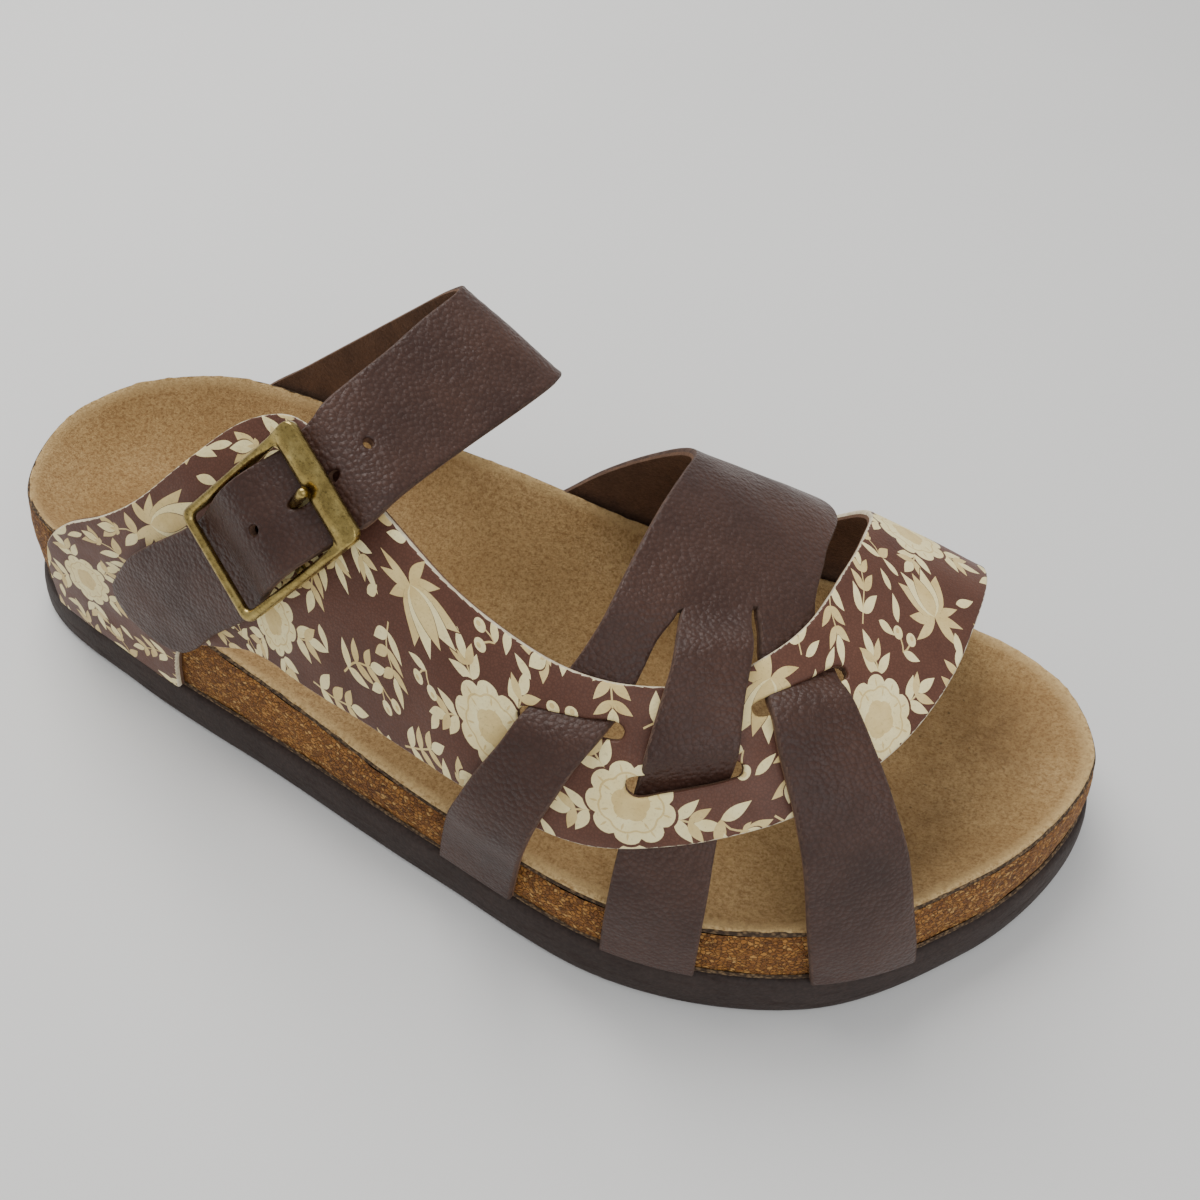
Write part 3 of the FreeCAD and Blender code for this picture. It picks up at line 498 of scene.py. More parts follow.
def make_fingers():
    root = np.array(FINGER_ROOT + [ROOT_END], float)
    at_root = run_length(middle_line(root))
    straps = []
    for rows, (low, high) in zip((FINGER_A, FINGER_B, FINGER_C), FINGER_SHARES):
        table = np.array(rows, float)
        middle = middle_line(table)
        a, b = table[:, :2].copy(), table[:, 2:4].copy()
        wide = (b - a) / (high - low)
        table[:, :2], table[:, 2:4] = a - wide * low, b + wide * (1 - high)
        first = on_form(*(root[-1, :2] + (root[-1, 2:4] - root[-1, :2]) * (low + high) / 2), root[-1, 4])
        steps = run_length(np.concatenate([[first], middle]))[1:]
        strap = form_strap(np.concatenate([at_root, at_root[-1] + steps]), np.concatenate([root, table]))
        strap.width[:] = FINGER_SPAN
        straps.append(strap)
    return straps, at_root[-1]


def finger_point(straps, split):
    """Function from places on the finger strap to points; the straps blend into one in the root."""
    def point(places, extra):
        extra = np.asarray(extra, float)
        share = places[:, 1] / FINGER_SPAN + 0.5
        blend = np.maximum(BLEND_SHARE * np.clip((split - places[:, 0]) / BLEND_LONG, 0, 1), 1e-4)
        past = [np.clip((share - at) / blend / 2 + 0.5, 0, 1) for at in SLIT_AT]
        past = [p * p * (3 - 2 * p) for p in past]
        weights = (1 - past[0], past[0] * (1 - past[1]), past[1])
        return sum(w[:, None] * strap.point(places, extra) for w, strap in zip(weights, straps))
    return point


def finger_outline(straps, split):
    """Root with three fingers, cut apart by slits."""
    def line(start, end, share):
        s = np.linspace(start, end, max(int(abs(end - start) / 1.5), 1) + 1)
        return [(v, (share - 0.5) * FINGER_SPAN) for v in s]

    loop = line(0, split, 0)
    for strap, (low, high) in zip(straps, FINGER_SHARES):
        loop += line(split, strap.length, low)[1 if low == 0 else 0:]
        steps = np.linspace(low, high, 9)
        loop += [(strap.length, (share - 0.5) * FINGER_SPAN) for share in steps[1:-1]]
        loop += line(strap.length, split, high)
    loop += line(split, 0, 1)[1:]
    loop += [(0, (share - 0.5) * FINGER_SPAN) for share in np.linspace(1, 0, 20)[1:-1]]
    return np.array(loop)


def make_instep():
    """The instep strap: on the form, through the buckle, and down to its rounded tail."""
    rows = np.array(INSTEP, float)
    upper = rows[:, :1] + (rows[:, 1:] - rows[:, :1]) * SHARE[None, :, None]
    upper = np.concatenate([form_grid(np.array(INSTEP_FOOT, float)), upper])
    table = np.array(STRAP_IN_BUCKLE, float)
    along = np.linspace(table[0, 0], table[-1, 0], 18)
    half, height, tilt = smooth(table[:, 0], table[:, 1:], along).T[:, :, None]
    side = 1 - 2 * SHARE[None]
    through = at_buckle(np.stack([half * side, along[:, None] + 0 * side, height + tilt * side], -1))
    grid = np.concatenate([upper, through, form_grid(np.array(TAIL, float))])
    middle = grid[:, COLUMNS // 2]
    at = run_length(middle)
    s = np.linspace(0, at[-1], int(at[-1] / ROW_SPACING) + 1)
    return Strap(s, smooth(at, grid, s))


# the strap's holes: the prong's one along the buckle's frame, the others from there towards the tail
PRONG_HOLE = -6.9
HOLES = (-16.2, -8.5, 9.2)


def circle(centre, radius, count, stretch=1.0):
    """Loop of points round a place; stretch lengthens it along the strap."""
    turn = np.linspace(0, 2 * math.pi, count, endpoint=False)
    return np.array(centre) + radius * np.stack([stretch * np.cos(turn), np.sin(turn)], -1)


def instep_outline(strap):
    """Both edges of the strap and its rounded tail."""
    start = strap.length - TAIL_ROUND
    half = np.interp(start, strap.s, strap.width) / 2
    turn = np.linspace(-90, 90, 19)[1:-1]
    tip = [(start, 0) + compass(a) * (TAIL_ROUND, half) for a in turn]
    base = [(0, b) for b in np.linspace(strap.width[0] / 2, -strap.width[0] / 2, 20)[1:-1]]
    return np.concatenate([strap.edge(0, start, -1), tip, strap.edge(start, 0, 1), base])


def instep_holes(strap):
    """The prong's slot and the punched holes on both sides of it."""
    middle = strap.grid[:, COLUMNS // 2]
    level = (middle - ORIGIN) @ TAILWARD
    past = np.linalg.norm(middle - ORIGIN, axis=1) < 16
    prong = float(np.interp(PRONG_HOLE, level[past], strap.s[past]))
    holes = [circle((prong + ahead, 0), 1.0, 18) for ahead in HOLES]
    return holes + [circle((prong - 0.3, 0), 1.1, 24, 2.2)]


# ---- the print: a generic pattern of flowers, sprays and berries ----
CREAM, TAN, GROUND = 0, 1, -3  # numbers of the tones; the ground is the panel's own leather
STEM = 0.34
PEONY_RINGS = [(1.0, 9, CREAM), (0.70, 7, CREAM), (0.40, 5, TAN)]
CROWDING = 0.86
# smaller growth, the largest first: (how far it reaches, how many places are tried)
GROWTH = [(6.6, 500), (4.7, 900), (3.3, 1400), (2.2, 1600)]
# flowers of the print: (along the panel, across it, size) and (along, across, way it hangs, size)
PEONIES = [
    (130, 2, 8.0), (155, 6, 7.4), (243, -5, 8.2), (18, -7, 7.0), (73, 14, 6.6), (200, 8, 7.2),
    (92, -13, 5.6)]
LILIES = [
    (112, -13, 48, 1.0), (52, -12, 20, 0.9), (181, -10, 120, 0.9), (224, 6, 300, 0.9),
    (268, 8, 200, 0.9)]


def leaf_loop(length, width, bend=0.0, fat=0.8):
    """A pointed leaf along +x from its foot, its tip bent sideways."""
    u = np.linspace(0, 1, 9)
    half = width / 2 * np.sin(math.pi * u**fat)
    spine = bend * u**2
    upper = np.stack([u * length, spine + half], -1)
    lower = np.stack([u * length, spine - half], -1)
    return np.concatenate([lower, upper[-2:0:-1]])


class Print:
    """Collects the printed shapes of a panel, later shapes on top of earlier ones."""

    def __init__(self, seed):
        self.loops, self.tones, self.taken = [], [], []
        self.random = np.random.default_rng(seed)

    def add(self, loop, tone, place=(0, 0), angle=0.0):
        c, s = compass(angle)
        self.loops.append(np.asarray(loop) @ np.array([[c, s], [-s, c]]) + place)
        self.tones.append(tone)

    def ahead(self, place, angle, distance):
        return np.asarray(place, float) + compass(angle) * distance

    def stem(self, points):
        """A thin line through points."""
        line = open_curve(points, 1.0)
        along = unit(np.gradient(line, axis=0))
        side = np.stack([-along[:, 1], along[:, 0]], -1) * STEM / 2
        self.add(np.concatenate([line - side, (line + side)[::-1]]), TAN)

    def leaf(self, place, angle, length, tone=TAN):
        bend = self.random.uniform(-0.12, 0.12) * length
        self.add(leaf_loop(length, 0.4 * length, bend), tone, place, angle)

    def spray(self, place, angle, length):
        """A bent stem with a leaf at its end and leaves in pairs along it."""
        turn = self.random.uniform(-28, 28)
        middle = self.ahead(place, angle, length / 2)
        end = self.ahead(middle, angle + turn, length / 2)
        self.stem([place, middle, end])
        self.leaf(end, angle + turn, 5.2, CREAM)
        steps = max(int(length / 2.9), 2)
        for n in range(steps):
            share = (n + 0.6) / steps
            foot = self.ahead(place, angle, share * length) if share < 0.5 else \
                self.ahead(middle, angle + turn, (share - 0.5) * length)
            for side in (-1, 1):
                tone = TAN if n % 3 else CREAM
                self.leaf(foot, angle + turn * share + side * 46, 5.6 - 1.4 * share, tone)

    def berry(self, place, angle):
        end = self.ahead(place, angle, 3.6)
        self.stem([place, self.ahead(place, angle + 12, 1.8), end])
        self.add(circle(end, 1.25, 16), CREAM)
        self.add(circle(self.ahead(end, angle, 0.35), 0.5, 10), TAN)

    def tulip(self, place, angle, size=1.0):
        """A small cup of three petals on its calyx."""
        for turn, bend in ((28, 1.1), (-28, -1.1)):
            self.add(leaf_loop(5.0 * size, 2.3 * size, bend * size), TAN, place, angle + turn)
        self.add(leaf_loop(4.9 * size, 3.3 * size, 0, 0.9), GROUND, place, angle)
        self.add(leaf_loop(4.6 * size, 2.8 * size, 0, 0.9), CREAM, place, angle)
        for turn in (-70, 0, 70):
            self.add(leaf_loop(1.9 * size, 0.9 * size), TAN, self.ahead(place, angle, -0.3), angle + turn)

    def lily(self, place, angle, size):
        """A hanging bell of five petals with long leaves at its neck."""
        for turn in (-118, -84, 80, 112, 140):
            self.add(leaf_loop(7.5 * size, 2.1 * size, 0.9), TAN, place, angle + turn)
        for turn, length, tone in ((-34, 11, TAN), (34, 11, TAN), (-17, 11.6, CREAM), (17, 11.6, CREAM),
                                   (0, 10.2, TAN)):
            loop = leaf_loop(length * size, 4.6 * size, turn * 0.03, 0.75)
            self.add(loop * 1.04, GROUND, place, angle + turn)
            self.add(loop, tone, place, angle + turn)
        for turn in (-17, -8, 8, 17):
            self.add(leaf_loop(6.2 * size, 0.55 * size), TAN, self.ahead(place, angle, 1.0), angle + turn)

    def peony(self, place, size):
        """A round flower: scalloped petals in three rings with shaded folds."""
        for ring, (radius, petals, tone) in enumerate(PEONY_RINGS):
            turn = np.linspace(0, 2 * math.pi, petals * 8, endpoint=False)
            for grow, colour in ((1.07, TAN if ring else GROUND), (1.0, tone)):
                r = size * radius * grow * (0.84 + 0.16 * np.abs(np.sin(turn * petals / 2 + ring)) ** 0.6)
                self.add(np.stack([r * np.cos(turn), r * np.sin(turn)], -1), colour, place)
            for n in range(petals):
                way = math.degrees(2 * math.pi * (n + 0.5) - 2 * ring) / petals
                fold = self.ahead(place, way, 0.72 * radius * size)
                self.add(leaf_loop(0.2 * size, 0.05 * size), TAN, fold, way)

    def free(self, place, reach):
        return all(np.linalg.norm(np.asarray(place) - at) > reach + far for at, far in self.taken)

    def take(self, place, reach):
        self.taken.append((np.asarray(place, float), reach))


def pattern(length, half):
    """Big flowers at chosen places and smaller growth wherever there is room."""
    design = Print(7)
    for s, b, size in PEONIES:
        for angle in np.arange(20, 380, 72):
            design.spray(design.ahead((s, b), angle, size * 0.8), angle, 4.6)
        design.peony((s, b), size)
        design.take((s, b), size + 5.0)
    for s, b, angle, size in LILIES:
        design.lily((s, b), angle, size)
        design.take(design.ahead((s, b), angle, 3.5), 8.0 * size)
    for reach, tries in GROWTH:
        for _ in range(tries):
            place = np.array([design.random.uniform(-2, length + 2), design.random.uniform(-half, half)])
            angle = design.random.uniform(0, 360)
            if not design.free(place, reach * CROWDING):
                continue
            design.take(place, reach * CROWDING)
            foot = design.ahead(place, angle, -reach)
            if reach > 6:
                design.spray(foot, angle, 2 * reach - 3)
            elif reach > 4:
                design.stem([foot, design.ahead(foot, angle + 15, 2.4), place])
                design.tulip(place, angle)
                design.leaf(foot, angle + 62, 5.4)
                design.leaf(foot, angle - 50, 5.8, CREAM)
            elif reach > 3:
                design.berry(foot, angle + 20)
                design.berry(foot, angle - 38)
                design.leaf(foot, angle + 80, 4.4, CREAM)
            else:
                design.leaf(foot, angle, 4.6, CREAM)
    return design


# ---- sole ----
# footbed: its middle line (x, y), its height along it (x, z) and pads across it (x, width, height)
SPINE = np.array([(-88, 4.0), (-50, 1.0), (0, -4.0), (40, -4.0), (70, 2.0)])
FLOOR = np.array([(-110, 20.5), (-80, 19.5), (-30, 21.5), (10, 20), (45, 17.5), (80, 17.0), (120, 19)])
PADS = [(8, 20, 1.6), (76, 7, 1.5)]
# the arch: where it is highest, its length, how steep the bowl's side is and how much less in the arch
ARCH_AT, ARCH_LONG, BOWL_STEEP, ARCH_EASES = -25, 38.0, 3.2, 1.5
AROUND = 480
FINE = 2 * AROUND
# how far the cork's wall bulges out, and how far it runs into the layers below and above it
CORK_BULGE, TUCK_BELOW, TUCK_ABOVE = 0.75, 0.6, 0.35
# the tread's cross grooves: distance from one to the next, half width, depth, margin to the edge
GROOVE_STEP, GROOVE_HALF, GROOVE_DEEP, GROOVE_MARGIN = 7.0, 1.2, 1.6, 7


def outline_at(inset, z=None, count=AROUND):
    """The sole's outline moved inwards, at the height of the rim or, if z is given, at that height."""
    curve = closed_curve(SOLE, count)
    along = unit((np.roll(curve, -1, 0) - np.roll(curve, 1, 0))[:, :2])
    inset = np.broadcast_to(inset, len(curve))[:, None]
    moved = curve[:, :2] + np.stack([along[:, 1], -along[:, 0]], -1) * inset
    return np.concatenate([moved, curve[:, 2:] if z is None else np.full((count, 1), z, float)], 1)


def bed_height(places):
    """Height of the footbed at places, and how far out each is towards the rim."""
    x, y = places.T
    cx = np.clip(x, SPINE[0, 0], SPINE[-1, 0])
    centre = np.stack([cx, smooth(SPINE[:, 0], SPINE[:, 1], cx)], -1)
    rel = places - centre
    far = np.maximum(np.linalg.norm(rel, axis=1), 0.01)
    way = rel / far[:, None]
    reach, rim = np.full(len(x), FAR), np.zeros(len(x))
    curve = closed_curve(SOLE, 360)
    for a, b in zip(curve, np.roll(curve, -1, 0)):
        side_a = way[:, 0] * (a[1] - centre[:, 1]) - way[:, 1] * (a[0] - centre[:, 0])
        side_b = way[:, 0] * (b[1] - centre[:, 1]) - way[:, 1] * (b[0] - centre[:, 0])
        f = side_a / np.where(side_a == side_b, 1, side_a - side_b)
        hit_x, hit_y = a[0] + (b[0] - a[0]) * f, a[1] + (b[1] - a[1]) * f
        out = way[:, 0] * (hit_x - centre[:, 0]) + way[:, 1] * (hit_y - centre[:, 1])
        hit = (side_a * side_b <= 0) & (side_a != side_b) & (out > 0) & (out < reach)
        reach = np.where(hit, out, reach)
        rim = np.where(hit, a[2] + (b[2] - a[2]) * f, rim)
    share = np.clip(far / (reach - RIM_INSET), 0, 1)
    arch = np.exp(-((x - ARCH_AT) / ARCH_LONG) ** 2) * np.clip(way[:, 1], 0, 1)
    climb = share ** (BOWL_STEEP - ARCH_EASES * arch)
    pads = sum(height * np.exp(-((x - place + 0.15 * y) / width) ** 2) for place, width, height in PADS)
    floor = smooth(FLOOR[:, 0], FLOOR[:, 1], x)
    return floor + (rim - floor) * climb + pads * (1 - share**2), share


def loft(name, loops, materials):
    """A wall through closed loops of the same number of points."""
    faces = wall_faces(len(loops), len(loops[0]))
    return make_object(name, np.concatenate(loops), faces, materials, sharp=80)


def add_attribute(piece, name, numbers):
    """One number for each point of a mesh, for its material to read."""
    values = piece.data.attributes.new(name, "FLOAT", "POINT").data
    values.foreach_set("value", numbers.astype(np.float32))


def footbed(materials):
    """Suede surface with its rolled rim; the surface carries how far out it is as an attribute."""
    outline = outline_at(RIM_INSET + 0.15)
    places, triangles, _ = flat_mesh(outline[:, :2], [], [], (0.25, 0.7, 1.4, 2.4), 2.4)
    height, share = bed_height(places)
    away = boundary_distance(places, [outline[:, :2]])
    height -= rounded_drop(away, 0.9)
    top = np.concatenate([places, height[:, None]], 1)
    top[:, 2] += waviness(top, 0.35, 14.0) + waviness(top, 0.45, 1.9) * np.exp(-away / 1.3)
    count = len(top)
    rim, rim_points, slot_of = numbered_rim(triangles)
    lower = top[rim_points] - (0, 0, SUEDE_THICK - 0.7)
    faces = triangles.tolist() + [(b, a, count + slot_of[a], count + slot_of[b]) for a, b in rim]
    piece = make_object("suede_footbed", np.concatenate([top, lower]), faces, materials, sharp=60)
    add_attribute(piece, "share", np.concatenate([share, np.ones(len(lower))]))
    return piece


def cork_wall(materials):
    """The cork's outer wall from the outsole to the jute line under the suede."""
    rim = closed_curve(SOLE, FINE)[:, 2]
    top = rim - SUEDE_THICK - JUTE_THICK + TUCK_ABOVE
    loops = []
    for level in np.linspace(0, 1, 22):
        bulge = CORK_BULGE * math.sin(math.pi * level) ** 0.8
        inset = CORK_INSET + (RIM_INSET - 0.25 - CORK_INSET) * level - bulge
        loop = outline_at(inset, 0, FINE)
        loop[:, 2] = CORK_BOTTOM - TUCK_BELOW + (top - CORK_BOTTOM + TUCK_BELOW) * level
        out = unit(loop[:, :2] - outline_at(inset + 1, 0, FINE)[:, :2])
        grain = waviness(loop, 0.35, 11.0) + waviness(loop, 0.16, 2.6)
        loop[:, :2] += out * grain[:, None]
        loops.append(loop)
    return loft("cork_wall", loops, materials)


def upper_jute(materials):
    """The dark woven layer that shows between the suede and the cork."""
    rim = closed_curve(SOLE, FINE)[:, 2]
    loops = []
    for level in np.linspace(0, 1, 7):
        loop = outline_at(RIM_INSET + 0.45 - 0.75 * math.sin(math.pi * level), 0, FINE)
        loop[:, 2] = rim - SUEDE_THICK - JUTE_THICK + 0.1 + (JUTE_THICK + 0.25) * level
        loops.append(loop)
    return loft("upper_jute_edge", loops, materials)


def lower_jute(materials):
    """The thin woven layer between the cork and the outsole."""
    loops = [outline_at(CORK_INSET - 0.2 - 0.5 * math.sin(math.pi * level),
                        OUTSOLE_THICK - 0.1 + 1.0 * level, FINE) for level in np.linspace(0, 1, 5)]
    return loft("lower_jute_edge", loops, materials)


def outsole(materials):
    """Foam outsole: rounded edges, a moulded side wall, and cross grooves underneath.

    Its profile is given as (distance in from the outline, height).
    """
    profile = [(1.2, 0.0), (0.45, 0.35), (0.1, 0.9), (0.0, 1.8), (0.15, 4.0), (0.5, 6.5), (1.0, 8.6),
               (1.35, 9.4), (1.9, 9.85), (2.6, 10.0), (4.5, 10.0)]
    loops = [outline_at(inset, z) for inset, z in profile]
    for loop in loops[2:8]:
        loop[:, 2] += waviness(loop, 0.12, 12.0)
    outline = loops[0][:, :2]
    grooves = []
    for k in range(-16, 17):
        x = GROOVE_STEP * k
        low, high = (np.interp(x, STATIONS, WALLS[side]) - GROOVE_MARGIN * side for side in (-1, 1))
        ends = [np.array([x, low + GROOVE_HALF]), np.array([x, high - GROOVE_HALF])]
        turn = np.radians(np.linspace(0, 180, 7))
        bow = np.stack([np.cos(turn), np.sin(turn)], -1) * GROOVE_HALF
        grooves.append(np.concatenate([ends[1] + bow, ends[0] - bow]))
    places, triangles, _ = flat_mesh(outline, grooves, [], (), 6.0)
    triangles = triangles[:, ::-1]
    bottom = np.concatenate([places, np.zeros((len(places), 1))], 1)
    blocks = [np.concatenate(loops), bottom]
    below = len(loops) * len(outline)
    faces = wall_faces(len(loops), len(outline)) + (triangles + below).tolist()
    start = below + len(bottom)
    for groove in grooves:
        size = len(groove)
        blocks += [np.concatenate([groove, np.full((size, 1), z)], 1) for z in (0.0, GROOVE_DEEP)]
        faces += (np.array(wall_faces(2, size)) + start).tolist()
        faces.append(range(start + 2 * size - 1, start + size - 1, -1))
        start += 2 * size
    return make_object("outsole_shell", np.concatenate(blocks), faces, materials, sharp=35)


# ---- buckle ----
# outside and inside of the frame: half its width, where it starts and ends along the strap, its corners
FRAME_OUTSIDE = (12.2, -16.0, 16.0, 1.9)
FRAME_INSIDE = (10.3, -10.4, 14.1, 1.1)
FRAME_TOP, FRAME_UNDER = 7.0, 3.9
# the wide bar: how much higher and thinner it is, how square, how far it slants, and its notch
BAR_HIGHER, BAR_THINNER, BAR_SQUARE, BAR_SLANT = 0.25, 1.2, 0.62, 0.9
NOTCH_DEEP, NOTCH_HALF = 0.75, 1.35
NEAR_THINNER = 1.1
# where along the strap the wide bar, the near bar, the slant and the notch begin
BAR_FROM, NEAR_FROM, SLANT_FROM, NOTCH_FROM = -8.0, 12.0, -11.9, -14.0
CHANGE_LONG, SLANT_LONG = 3.0, 1.5
SECTION_SIDES = SIDE_STEPS = 24
CORNER_STEPS = 9
PRONG_SIDES = 16


def rounded_rectangle(half_w, low, high, corner):
    """Loop of a rounded rectangle, the same number of points on each side and corner."""
    loop = []
    centres = [(half_w - corner, high - corner, 0), (-half_w + corner, high - corner, 90),
               (-half_w + corner, low + corner, 180), (half_w - corner, low + corner, 270)]
    for x, y, start in centres:
        for a in np.linspace(start, start + 90, CORNER_STEPS):
            loop.append((x, y) + corner * compass(a))
    full = []
    for k, here in enumerate(loop):
        there = loop[(k + 1) % len(loop)]
        steps = SIDE_STEPS if (k + 1) % CORNER_STEPS == 0 else 1
        full += [here + (there - here) * n / steps for n in range(steps)]
    return np.array(full)


def buckle_frame_piece(materials):
    """Cast frame: a wide bar with a notch for the prong, round rails and a narrow near bar."""
    outer, inner = rounded_rectangle(*FRAME_OUTSIDE), rounded_rectangle(*FRAME_INSIDE)
    middle, half = (outer + inner) / 2, np.linalg.norm(outer - inner, axis=1) / 2
    out = unit(outer - inner)
    on_bar = np.clip((BAR_FROM - middle[:, 1]) / CHANGE_LONG, 0, 1)
    near = np.clip((middle[:, 1] - NEAR_FROM) / CHANGE_LONG, 0, 1)
    top = FRAME_TOP + BAR_HIGHER * on_bar
    low = FRAME_UNDER + BAR_THINNER * on_bar + NEAR_THINNER * near
    power = 1.0 - BAR_SQUARE * on_bar
    blocks = []
    for a in np.radians(np.linspace(0, 360, SECTION_SIDES, endpoint=False)):
        c, s = (math.copysign(1, v) * abs(v) ** power for v in (math.cos(a), math.sin(a)))
        flat = middle + out * (half * c)[:, None]
        z = (top + low) / 2 + (top - low) / 2 * s
        raised = on_bar * np.maximum(s, 0)
        slant = BAR_SLANT * raised * np.clip((flat[:, 1] - SLANT_FROM) / SLANT_LONG, 0, 1)
        notch = np.exp(-(flat[:, 0] / NOTCH_HALF) ** 4) * raised * np.clip(flat[:, 1] - NOTCH_FROM, 0, 1)
        blocks.append(np.stack([flat[:, 0], flat[:, 1], z - NOTCH_DEEP * notch - slant], -1))
    faces = wall_faces(SECTION_SIDES, len(outer), closed=True)
    return make_object("buckle_frame_cast", at_buckle(np.concatenate(blocks)), faces, materials, sharp=60)


def tube(name, path, radii, materials):
    """Round bar along a path in the buckle's frame, with rounded ends."""
    path = np.asarray(path, float)
    radii = np.broadcast_to(radii, len(path)).astype(float)
    along = unit(np.gradient(path, axis=0))
    side = unit(np.cross(along, (0, 0.3, 1.0)))
    up = np.cross(side, along)
    turn = np.linspace(0, 2 * math.pi, PRONG_SIDES, endpoint=False)
    rings = [p + r * (np.cos(turn)[:, None] * s + np.sin(turn)[:, None] * u)
             for p, r, s, u in zip(path, radii, side, up)]
    last = (len(path) - 1) * PRONG_SIDES
    faces = wall_faces(len(path), PRONG_SIDES)
    faces += [range(PRONG_SIDES)[::-1], range(last, last + PRONG_SIDES)]
    return make_object(name, at_buckle(np.concatenate(rings)), faces, materials, sharp=60)


def prong_piece(materials):
    """Round prong that bends up through the strap and rests in the notch."""
    path = open_curve([(0, -0.8, 4.75), (0, -3.2, 4.7), (0, -6.2, 5.2), (0, -8.3, 6.2), (0, -10.0, 7.1),
                       (0, -11.8, 7.7)], 0.25)
    reach = np.linspace(0, 1, len(path))
    tip = np.clip((reach - 0.9) / 0.1, 0, 1)
    radii = (0.85 + 0.25 * reach**3) * np.sqrt(np.clip(1 - tip**2, 0.03, 1))
    return tube("prong_cast", path, radii, materials)


# ---- materials ----
class Look:
    """A node material, built with short calls; its textures run on object coordinates in millimetres."""

    def __init__(self, name, roughness=0.5, metallic=0.0, **sockets):
        self.material = bpy.data.materials.new(name)
        self.material.use_nodes = True
        self.tree = self.material.node_tree
        self.shader = self.tree.nodes["Principled BSDF"]
        self.shader.inputs["Roughness"].default_value = roughness
        self.shader.inputs["Metallic"].default_value = metallic
        for socket, value in sockets.items():
            self.shader.inputs[socket.replace("_", " ")].default_value = value
        coordinates = self.node("TexCoord").outputs["Object"]
        scale = self.node("VectorMath")
        scale.operation = "SCALE"
        scale.inputs["Scale"].default_value = 1 / MM
        self.tree.links.new(coordinates, scale.inputs[0])
        self.place = scale.outputs[0]
        self.bump = self.base = None

    def node(self, kind, **inputs):
        """A new node with values or links for its inputs."""
        node = self.tree.nodes.new("ShaderNode" + kind)
        for name, value in inputs.items():
            self.set(node.inputs[name], value)
        return node

    def set(self, socket, value):
        if hasattr(value, "is_output"):
            self.tree.links.new(value, socket)
        elif isinstance(value, (tuple, list)) and len(value) == 3 and socket.type == "RGBA":
            socket.default_value = (*value, 1)
        else:
            socket.default_value = value

    def noise(self, size, detail=3.0, rough=0.55, stretch=None):
        node = self.node("TexNoise", Scale=1.0 / size, Detail=detail, Roughness=rough,
                         Vector=self.stretched(stretch))
        return node.outputs["Fac"]

    def cells(self, size, feature="F1", stretch=None, warp=0.0, output="Distance"):
        """Cells of about that size; warp shakes their outlines."""
        place = self.stretched(stretch)
        if warp:
            shake = self.node("TexNoise", Scale=0.6 / size, Vector=place)
            place = self.vector("MULTIPLY_ADD", shake.outputs["Color"], (warp, warp, warp), place)
        node = self.node("TexVoronoi", Scale=1.0 / size, Vector=place)
        node.feature = feature
        return node.outputs[output]

    def stretched(self, stretch):
        return self.vector("MULTIPLY", self.place, stretch) if stretch else self.place

    def vector(self, operation, *values, kind="VectorMath"):
        node = self.node(kind)
        node.operation = operation
        for socket, value in zip(node.inputs, values):
            self.set(socket, value)
        return node.outputs[0]

    def math(self, operation, *values):
        return self.vector(operation, *values, kind="Math")

    def ramp(self, value, *stops):
        """Colours or numbers along a value: (position, colour or number) pairs."""
        node = self.node("ValToRGB", Fac=value)
        for n, (position, colour) in enumerate(stops):
            stop = node.color_ramp.elements[n] if n < 2 else node.color_ramp.elements.new(position)
            stop.position = position
            stop.color = (*colour, 1) if isinstance(colour, tuple) else (colour, colour, colour, 1)
        return node.outputs["Color"]

    def mix(self, share, a, b):
        node = self.node("Mix")
        node.data_type = "RGBA"
        self.set(node.inputs["Factor"], share)
        self.set(node.inputs["A"], a)
        self.set(node.inputs["B"], b)
        return node.outputs["Result"]

    def attribute(self, name):
        node = self.node("Attribute")
        node.attribute_name = name
        return node.outputs["Fac"]

    def relief(self, height, depth):
        """Adds a bump of that depth in millimetres."""
        node = self.node("Bump", Strength=1.0, Distance=depth * MM, Height=height)
        if self.bump:
            self.tree.links.new(self.bump, node.inputs["Normal"])
        self.bump = node.outputs["Normal"]
        self.tree.links.new(self.bump, self.shader.inputs["Normal"])

    def colour(self, value):
        self.base = value
        self.set(self.shader.inputs["Base Color"], value)

    def lay(self, share, tint):
        """Lays a tint over the colour there is."""
        self.colour(self.mix(share, self.base, tint))

    def roughness(self, value):
        self.set(self.shader.inputs["Roughness"], value)


def rgb(red, green, blue):
    """Linear colour from display values of 0 to 255."""
    return tuple(((c / 255 + 0.055) / 1.055) ** 2.4 if c > 10 else c / 255 / 12.92
                 for c in (red, green, blue))


def leather_look(name, dark, light, grain, depth, roughness):
    look = Look(name, roughness, Specular_IOR_Level=0.34)
    look.colour(look.ramp(look.noise(16, 4), (0.3, dark), (0.7, light)))
    pebbles = look.cells(grain, warp=0.5)
    # painted shade: the creases between the pebbles of the grain are darkened, as if shaded
    crease_shade_mask = look.ramp(look.cells(grain, "DISTANCE_TO_EDGE", warp=0.5), (0.0, 0.0), (0.22, 1.0))
    look.lay(look.math("MULTIPLY_ADD", crease_shade_mask, -0.35, 0.35), tuple(c * 0.45 for c in dark))
    look.relief(look.math("SUBTRACT", 1.0, pebbles), depth)
    look.relief(look.noise(0.22, 2), depth * 0.3)
    look.relief(look.noise(4.5, 3), 0.22)
    look.roughness(look.ramp(look.noise(7, 4), (0.3, roughness - 0.07), (0.75, roughness + 0.12)))
    return look.material


def print_look(name, dark, light):
    look = Look(name, 0.52, Specular_IOR_Level=0.28)
    look.colour(look.ramp(look.noise(5, 5), (0.3, dark), (0.65, light)))
    look.lay(look.ramp(look.noise(0.5, 2), (0.58, 0.0), (0.72, 0.35)), tuple(c * 0.55 for c in dark))
    look.relief(look.cells(0.7, warp=0.5), 0.06)
    look.relief(look.noise(4.5, 3), 0.2)
    return look.material


